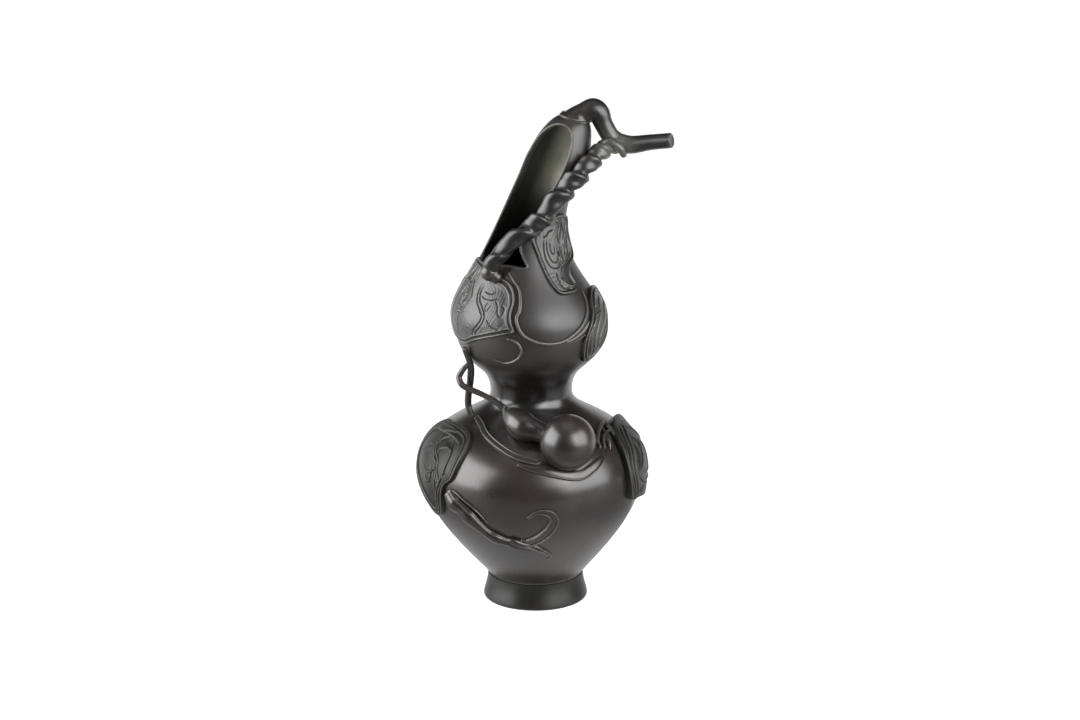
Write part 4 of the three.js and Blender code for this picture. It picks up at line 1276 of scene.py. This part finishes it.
def line_distance(spots, line):
    """How far each spot lies from the line, and how far along the line its nearest point is."""
    best = np.full(len(spots), np.inf)
    along = np.zeros(len(spots))
    far = np.concatenate([[0], np.cumsum(np.linalg.norm(np.diff(line, axis=0), axis=1))])
    for i in range(len(line) - 1):
        step = line[i + 1] - line[i]
        length = step @ step
        share = np.clip((spots - line[i]) @ step / max(length, 1e-9), 0, 1)
        gap = np.linalg.norm(spots - line[i] - share[:, None] * step, axis=1)
        nearer = gap < best
        best = np.where(nearer, gap, best)
        along = np.where(nearer, far[i] + share * math.sqrt(length), along)
    return best, along / far[-1]


# How thick a leaf is at distances from its edge, in millimetres and shares of its thickness
BORDERS = {
    "plain": [(0, -0.1), (0.2, 0.45), (0.6, 0.85), (1.1, 1), (2, 0.95), (3, 0.8), (6, 0.76), (40, 0.85)],
    "narrow": [
        (0, -0.1), (0.2, 0.5), (0.6, 0.95), (1, 1), (1.5, 0.85), (2, 0.5), (2.6, 0.56), (8, 0.66), (40, 0.8),
    ],
    "double": [
        (0, -0.1), (0.2, 0.45), (0.6, 0.95), (1, 1), (1.4, 0.8), (1.8, 0.42), (2.2, 0.46), (2.7, 0.92),
        (3.1, 0.95), (3.6, 0.72), (5, 0.66), (12, 0.75), (40, 0.85),
    ],
    "band": [
        (0, -0.1), (0.2, 0.5), (0.6, 0.92), (1.1, 0.95), (1.8, 0.78), (2.1, 0.95), (2.5, 0.96), (2.8, 0.78),
        (4, 0.86), (4.6, 0.85), (5.1, 0.4), (6, 0.4), (12, 0.52), (40, 0.66),
    ],
}

# How far in from a leaf's edge its veins begin, their steps from point to point, how low a leaf may lie, how
# its rings crowd towards the edge, and the rings of its hidden side, as shares of the outline and heights
VEIN_START = 1.4
VEIN_STEPS = 12
LEAST_LIFT = 0.15
LEAF_CROWDING = 1.25
LEAF_ROOT = [(1.0, -0.7), (0.96, -1.1)]


def leaf_mesh(name, leaf, sides, vein_height):
    """A leaf pressed onto the wall: a raised rim, a body that swells towards its middle, and veins."""
    outline = smooth_line(np.array(leaf["outline"]) * leaf["half"], OUTLINE_STEPS, closed=True)
    outline = evenly(outline, sides, closed=True)
    rings = sides // 3
    spread = 1 - (1 - np.linspace(0, 1, rings + 1)[1:]) ** LEAF_CROWDING
    spots = np.concatenate([[(0, 0)], *(share * outline for share in spread)])
    edge, _ = line_distance(spots, np.concatenate([outline[::3], outline[:1]]))
    lift = np.interp(edge, *zip(*BORDERS[leaf["border"]])) * leaf["thick"]
    inside = np.clip((edge - VEIN_START) / VEIN_START, 0, 1)
    for points, width, height, *pair in VEINS.get(name, []):
        gap, along = line_distance(spots, smooth_line(points, VEIN_STEPS * len(points)))
        taper = np.clip(6 * np.minimum(along, 1 - along) + 0.3, 0, 1)
        lift += inside * vein_height * height * taper * np.exp(-(((gap - sum(pair)) / width) ** 2))
    lift = np.maximum(lift, np.minimum(edge, LEAST_LIFT))
    spots = np.concatenate([spots, *(share * outline for share, _ in LEAF_ROOT), [(0, 0)]])
    lift = np.concatenate([lift, *(np.full(sides, deep) for _, deep in LEAF_ROOT), [LEAF_ROOT[-1][1]]])
    height = leaf["level"](leaf["share"]) + spots[:, 1]
    azimuth = leaf["azimuth"] + np.degrees(spots[:, 0] / radius_at(height))
    points = placed(wall_point(azimuth, height, CLEARANCE + lift))
    pairs = [(i, (i + 1) % sides) for i in range(sides)]
    faces = [(0, 1 + i, 1 + j) for i, j in pairs]
    last = 1 + (rings - 1 + len(LEAF_ROOT)) * sides
    for near in range(1, last, sides):
        far = near + sides
        faces += [(near + i, far + i, far + j, near + j) for i, j in pairs]
    faces += [(len(points) - 1, last + j, last + i) for i, j in pairs]
    mesh = bpy.data.meshes.new(name)
    mesh.from_pydata(points.tolist(), [], faces)
    mesh.materials.append(finish_named(leaf["finish"]))
    return outward(mesh)


class VASE_OT_leaves(bpy.types.Operator):
    """Makes the six leaves on the walls"""

    bl_idname = "vase.leaves"
    bl_label = "Leaves"

    def execute(self, context):
        sizes = context.scene.vase_sizes
        for name, leaf in LEAVES.items():
            mesh = leaf_mesh(name, leaf, sizes.leaf_sides, sizes.vein_height)
            make_piece(name + "_cast", [mesh], leaf["slot"], [name])
        return {"FINISHED"}


# Raised lines, strands and the small gourd

EVEN = [0.7, 1, 1, 1, 0.7]
TAPER = [1, 1, 0.9, 0.75, 0.25]
LINE_STEPS = 150
TWIG_STEPS = 90
LINE_SIDES = 24

# The raised lines: sizes in millimetres, width shares along the line, and its route of azimuths and level
# shares. A rib runs beside the middle: how far off, width, height. A twig has a width, a height and so on
RAISED_LINES = {
    "panel_rim": {
        "level": upper_level, "width": 2.0, "height": 1.1, "widths": EVEN, "finish": "green_bronze",
        "route": [
            (-109, 0.6), (-103, 0.573), (-96.3, 0.534), (-95.2, 0.486), (-96.1, 0.45), (-98.6, 0.422),
            (-97.8, 0.389), (-94.2, 0.351), (-87.7, 0.325), (-79.8, 0.309), (-70.8, 0.305), (-61.8, 0.314),
            (-51, 0.347), (-41.5, 0.39), (-36.5, 0.42), (-31.5, 0.46), (-29, 0.5),
        ],
    },
    "panel_web": {
        "level": upper_level, "width": 3.6, "height": 0.5, "widths": [0.15, 0.5, 0.9, 1.2],
        "finish": "green_bronze", "ribs": [(1.5, 0.9, 0.9)],
        "route": [(-66, 0.304), (-55, 0.31), (-44.5, 0.333), (-36, 0.366)],
    },
    "upper_curl": {
        "level": upper_level, "width": 1.7, "height": 1.0, "widths": TAPER, "finish": "green_bronze",
        "route": [
            (-105.5, 0.328), (-101.6, 0.323), (-97.8, 0.306), (-95.9, 0.278), (-97.4, 0.249), (-102.5, 0.223),
            (-110.2, 0.21), (-119.3, 0.22),
        ],
    },
    "trailing_vine": {
        "level": lower_level, "width": 8.8, "height": 2.4, "finish": "dark_bronze",
        "widths": [0.9, 1.2, 1.0, 1.18, 0.95, 0.78, 0.9, 0.7, 0.86, 0.62, 0.36, 0.3, 0.14],
        "ribs": [(-3.4, 1.4, 2.4), (0.2, 6.0, 3.3)],
        "twigs": [
            (
                1.5, 1.0, TAPER,
                [
                    (-132, 0.585), (-129.4, 0.572), (-126.3, 0.552), (-121.8, 0.525), (-117.7, 0.49),
                    (-113.8, 0.438),
                ],
            ),
            (
                1.4, 1.0, TAPER,
                [
                    (-99, 0.322), (-93, 0.318), (-88, 0.303), (-83.5, 0.275), (-79.5, 0.248), (-77.5, 0.222),
                    (-80.5, 0.207),
                ],
            ),
            (4.2, 2.4, [0.4, 1, 0.9, 0.2], [(-106, 0.345), (-101, 0.337), (-95.5, 0.318), (-90, 0.309)]),
        ],
        "route": [
            (-135.1, 0.56), (-132, 0.523), (-127.9, 0.498), (-123.8, 0.46), (-120.1, 0.42), (-116, 0.378),
            (-111, 0.347), (-105.1, 0.328), (-99.5, 0.308), (-93.8, 0.29), (-87.8, 0.269), (-82.1, 0.248),
            (-78.6, 0.226),
        ],
    },
    "lower_curl": {
        "level": lower_level, "width": 5.6, "height": 0.7, "widths": [0.8, 1, 1.05, 0.95, 0.75, 0.5, 0.25],
        "finish": "dark_bronze", "roundness": 0.7, "ribs": [(2.3, 1.1, 1.3), (-2.2, 0.9, 1.0)],
        "route": [
            (-96, 0.328), (-92.3, 0.331), (-87.7, 0.348), (-83.2, 0.383), (-80.2, 0.422), (-78.5, 0.467),
            (-80.1, 0.502), (-83.8, 0.518), (-87.7, 0.514), (-91.8, 0.488),
        ],
    },
    "shoulder_ridge": {
        "level": lower_level, "width": 3.8, "height": 0.7, "widths": [0.8, 1, 1, 1, 1, 0.9, 0.6],
        "finish": "green_bronze", "ribs": [(-1.35, 1.1, 1.3), (1.35, 1.1, 1.3)],
        "route": [
            (-152, 0.888), (-146, 0.883), (-136, 0.87), (-127, 0.85), (-112, 0.815), (-98.4, 0.778),
            (-92, 0.766), (-86.5, 0.758), (-84, 0.768),
        ],
    },
    "shoulder_band": {
        "level": lower_level, "width": 5.6, "height": 0.8, "widths": [0.35, 0.7, 1, 1, 1, 0.85, 0.45],
        "finish": "dark_bronze", "ribs": [(2.5, 1.1, 1.5)],
        "route": [
            (-97, 0.749), (-91, 0.737), (-83, 0.724), (-77.5, 0.714), (-69.6, 0.696), (-62.9, 0.69),
            (-56.1, 0.71), (-49, 0.736), (-45.5, 0.75),
        ],
    },
    "knot_loop": {
        "level": lower_level, "width": 2.5, "height": 2.1, "widths": EVEN, "finish": "green_bronze",
        "route": [
            (-44, 0.783), (-42.5, 0.806), (-36, 0.83), (-28, 0.842), (-20, 0.845), (-15, 0.832),
            (-16.5, 0.818),
        ],
        "twigs": [
            (2.2, 1.8, EVEN, [(-40.7, 0.778), (-37.6, 0.802), (-31, 0.818), (-24.8, 0.819), (-21, 0.806)]),
            (2.7, 2.6, EVEN, [(-19.5, 0.848), (-21.9, 0.823), (-23.8, 0.804), (-27.1, 0.775)]),
            (
                3.6, 2.4, [0.5, 0.9, 1, 0.6, 0.15],
                [(-27.5, 0.835), (-31, 0.815), (-34, 0.795), (-36, 0.775), (-37, 0.762)],
            ),
        ],
    },
}


class VASE_OT_lines(bpy.types.Operator):
    """Makes the raised lines and tendrils that lie on the walls"""

    bl_idname = "vase.lines"
    bl_label = "Raised lines"

    def execute(self, context):
        for name, line in RAISED_LINES.items():
            rails = [
                wall_rail(line["route"], line["level"], width, height, line["widths"], LINE_STEPS, beside)
                for beside, width, height in [(0, line["width"], line["height"]), *line.get("ribs", [])]
            ] + [
                wall_rail(route, line["level"], width, height, widths, TWIG_STEPS)
                for width, height, widths, route in line.get("twigs", [])
            ]
            finish, roundness = finish_named(line["finish"]), line.get("roundness", 1.0)
            skins = [ring_skin(rail, finish, LINE_SIDES, roundness) for rail in rails]
            make_piece(name + "_cast", skins, line["finish"], [name])
        return {"FINISHED"}


# Free strands at the waist: azimuth, level and distance from the axis in bulb radii
STRAND_SHARES = [
    (-147, 0.245, 1.02), (-149, 0.158, 0.92), (-152, 0.077, 0.91), (-154, 0.032, 0.92), (-156, -0.032, 0.92),
    (-155, -0.06, 0.91), (-154, -0.085, 0.89),
]
STALK_SHARES = [
    (-149, 0.172, 0.93), (-150.5, 0.142, 1.02), (-152, 0.106, 1.07), (-149, 0.075, 1.06), (-144, 0.054, 0.97),
    (-136, 0.034, 0.88), (-126, 0.01, 0.82), (-117, -0.018, 0.8),
]
FRUIT_TIP_SHARES = [(-115, -0.025, 0.8), (-109, -0.042, 0.84)]
STRAND_RADIUS = 1.9
STRAND_WIDTHS = [0.8, 1, 1, 1, 0.95, 0.85]
STALK_RADIUS = 1.7
STALK_WIDTHS = [0.7, 0.95, 1, 0.95, 0.9, 1.1]
STRAND_STEPS = 120
FRUIT_SIDES = 96
FRUIT_RADIUS = 15.0
FRUIT_NECK = 7.8
FRUIT_WIDTHS = [0.28, 0.66, 1.02, 0.72, 0.75]
FRUIT_NECK_CENTRE = wall_point(-96.7, lower_level(0.877), 3.5) + np.array([0, -2.9, 0.8])
FRUIT_CENTRE = wall_point(-68.8, lower_level(0.798), 8.0)
FRUIT_MIDDLE = FRUIT_NECK_CENTRE + 0.38 * (FRUIT_CENTRE - FRUIT_NECK_CENTRE)


def air_line(shares):
    return [air_point(azimuth, upper_level(share), out * BULB[0]) for azimuth, share, out in shares]


class VASE_OT_strands(bpy.types.Operator):
    """Makes the free strand and stalk at the waist, and the small gourd"""

    bl_idname = "vase.strands"
    bl_label = "Strands and small gourd"

    def execute(self, context):
        tip = [*air_line(FRUIT_TIP_SHARES), FRUIT_NECK_CENTRE, FRUIT_MIDDLE, FRUIT_CENTRE]
        brown = finish_named("brown_bronze")
        fruit = ring_skin(ball(FRUIT_CENTRE, FRUIT_RADIUS, FRUIT_SIDES), brown, FRUIT_SIDES)
        strand, stalk = air_line(STRAND_SHARES), air_line(STALK_SHARES)
        for name, node, slot, points, radius, widths, sides, more in (
            ("strand", "hanging_strand", "green_bronze", strand, STRAND_RADIUS, STRAND_WIDTHS, 28, []),
            ("stalk", "gourd_stalk", "brown_bronze", stalk, STALK_RADIUS, STALK_WIDTHS, 28, []),
            ("little_gourd", "small_gourd", "brown_bronze", tip, FRUIT_NECK, FRUIT_WIDTHS, 48, [fruit]),
        ):
            rail = tube_rail(smooth_line(points, STRAND_STEPS), radius * eased(widths, STRAND_STEPS))
            make_piece(name, [ring_skin(rail, finish_named(slot), sides), *more], slot, [node])
        return {"FINISHED"}


# Stage


class VaseStage(bpy.types.PropertyGroup):
    """The studio round the vase."""

    floor_colour: bpy.props.FloatVectorProperty(
        name="Floor", description="Colour of the floor and backdrop", subtype="COLOR", default=(0.3, 0.3, 0.3)
    )
    floor_glow: bpy.props.FloatProperty(
        name="Floor glow", description="Light of the backlit floor and backdrop", min=0, max=2, default=0.9
    )
    floor_shine: bpy.props.FloatProperty(
        name="Floor shine", description="Light of the floor in the casting's shine", min=0, max=2, default=0.4
    )
    side_power: bpy.props.FloatProperty(
        name="Side lights", description="Power of the left softbox", subtype="POWER", default=27.0
    )
    top_power: bpy.props.FloatProperty(
        name="Top light", description="Power of the softbox overhead", subtype="POWER", default=2.2
    )
    world_level: bpy.props.FloatProperty(
        name="Room", description="Brightness of the room behind the camera", min=0, max=2, default=0.06
    )


STAGE_HALF_WIDTH = 3.6
FLOOR_NEAR = -0.32
FLOOR_FAR = 0.1
FLOOR_FRONT = -2.6
BACKDROP_START = 1.9
BACKDROP_BEND = 0.5
BACKDROP_TOP = 0.75
SHINE_LEVEL = -0.001

# The floor's light round the foot: between which distances it fades, and how much stronger it is at the foot
SHINE_FADE = (0.04, 0.12)
SHINE_PEAK = 2.2
WHITE = (1.0, 1.0, 1.0, 1.0)
BLACK = (0.0, 0.0, 0.0, 1.0)
LIGHTS_AIM = (GOURD_AXIS[0], GOURD_AXIS[1], 0.13)

# Softboxes: name, place, width, height, the panel's power and the share of it
SOFTBOXES = [
    ("left_light", (-0.985, -0.17, 0.48), 1.25, 0.95, "side_power", 1.0),
    ("right_light", (0.84, -0.545, 0.5), 1.1, 0.9, "side_power", 0.68),
    ("front_light", (0.5, -0.9, 0.66), 0.5, 0.75, "side_power", 0.16),
    ("top_light", (0.0, -0.1, 1.4), 1.0, 1.0, "top_power", 1.0),
]
CAMERA_PLACE = (GOURD_AXIS[0] + 0.0025, GOURD_AXIS[1] - 1.35, 0.51)
CAMERA_PITCH = math.radians(90 - 15.5)
LENS = 85.4
SENSOR_WIDTH = 36


def sweep_mesh(name, profile):
    """A sheet as wide as the studio, along a (depth, height) profile."""
    points = [(x, y, z) for y, z in profile for x in (-STAGE_HALF_WIDTH, STAGE_HALF_WIDTH)]
    faces = [(2 * i, 2 * i + 1, 2 * i + 3, 2 * i + 2) for i in range(len(profile) - 1)]
    mesh = bpy.data.meshes.new(name)
    mesh.from_pydata(points, [], faces)
    for face in mesh.polygons:
        face.use_smooth = True
    return mesh


def shine_paint(strength):
    """Painted reflection: the light of a sheet that only the casting's shine sees, strongest round the foot.
    """
    paint, graph = new_material("shine_paint")
    where = graph.add("ShaderNodeTexCoord").outputs["Object"]
    away = graph.vectors("DISTANCE", where, (GOURD_AXIS[0], GOURD_AXIS[1], 0.0))
    glow = graph.ramp(away, *SHINE_FADE, SHINE_PEAK * strength, strength)
    graph.shade({"Base Color": BLACK, "Emission Color": WHITE, "Emission Strength": glow})
    return paint


def softbox(name, place, width, height, power):
    light = bpy.data.lights.new(name, "AREA")
    light.shape = "RECTANGLE"
    light.size, light.size_y, light.energy = width, height, power
    obj = linked(name, light)
    obj.location = place
    ahead = Vector([aim - start for aim, start in zip(LIGHTS_AIM, place)])
    obj.rotation_euler = ahead.to_track_quat("-Z", "Y").to_euler()


class VASE_OT_stage(bpy.types.Operator):
    """Makes the floor, the softboxes and the camera"""

    bl_idname = "vase.stage"
    bl_label = "Stage"

    def execute(self, context):
        scene = context.scene
        stage = scene.vase_stage
        paint, graph = new_material("floor_paint")
        graph.shade({
            "Base Color": toned(stage.floor_colour), "Roughness": 0.9, "Emission Color": WHITE,
            "Emission Strength": stage.floor_glow,
        })
        shine = shine_paint(stage.floor_shine)
        bend = [
            (BACKDROP_START + BACKDROP_BEND * math.sin(t), BACKDROP_BEND - BACKDROP_BEND * math.cos(t))
            for t in np.linspace(0, math.pi / 2, 24)
        ]
        # Near the vase the floor is dimmer in its shine than to the camera, so another sheet stands in there
        sheets = (
            ("floor_front", [(FLOOR_FRONT, 0.0), (FLOOR_FAR, 0.0)], paint),
            ("floor_back", [(FLOOR_FAR, 0.0), *bend, (BACKDROP_START + BACKDROP_BEND, BACKDROP_TOP)], paint),
            ("floor_shine", [(FLOOR_NEAR, SHINE_LEVEL), (FLOOR_FAR, SHINE_LEVEL)], shine),
        )
        for name, profile, colour in sheets:
            sheet = linked(name, sweep_mesh(name, profile))
            sheet.data.materials.append(colour)
            sheet.visible_glossy = name != "floor_front"
            sheet.visible_camera = sheet.visible_diffuse = name != "floor_shine"
        for name, place, width, height, setting, share in SOFTBOXES:
            softbox(name, place, width, height, share * getattr(stage, setting))

        world = bpy.data.worlds.new("room")
        world.use_nodes = True
        room = world.node_tree.nodes["Background"]
        room.inputs["Color"].default_value = WHITE
        room.inputs["Strength"].default_value = stage.world_level
        scene.world = world
        scene.view_settings.view_transform = "Standard"

        lens = bpy.data.cameras.new("camera")
        lens.lens = LENS
        lens.sensor_width = SENSOR_WIDTH
        camera = linked("camera", lens)
        camera.location = CAMERA_PLACE
        camera.rotation_euler = (CAMERA_PITCH, 0, 0)
        scene.camera = camera
        return {"FINISHED"}


STEPS = (
    VASE_OT_body, VASE_OT_foot, VASE_OT_stem, VASE_OT_vine,
    VASE_OT_leaves, VASE_OT_lines, VASE_OT_strands, VASE_OT_stage,
)
SETTINGS = {"vase_sizes": VaseSizes, "vase_finish": VaseFinish, "vase_stage": VaseStage}


class VIEW3D_PT_vase(bpy.types.Panel):
    """The vase's sizes, colours and making steps"""

    bl_label = "Double gourd vase"
    bl_space_type = "VIEW_3D"
    bl_region_type = "UI"
    bl_category = "Vase"

    def draw(self, context):
        for setting, group in SETTINGS.items():
            box = self.layout.box()
            for name in group.__annotations__:
                box.prop(getattr(context.scene, setting), name)
        for step in STEPS:
            self.layout.operator(step.bl_idname)


def register():
    for kind in (*SETTINGS.values(), *STEPS, VIEW3D_PT_vase):
        bpy.utils.register_class(kind)
    for name, group in SETTINGS.items():
        setattr(bpy.types.Scene, name, bpy.props.PointerProperty(type=group))


def unregister():
    for name in SETTINGS:
        delattr(bpy.types.Scene, name)
    for kind in (VIEW3D_PT_vase, *reversed(STEPS), *SETTINGS.values()):
        bpy.utils.unregister_class(kind)


def main():
    register()
    for step in STEPS:
        group, name = step.bl_idname.split(".")
        getattr(getattr(bpy.ops, group), name)()


if __name__ == "__main__":
    main()
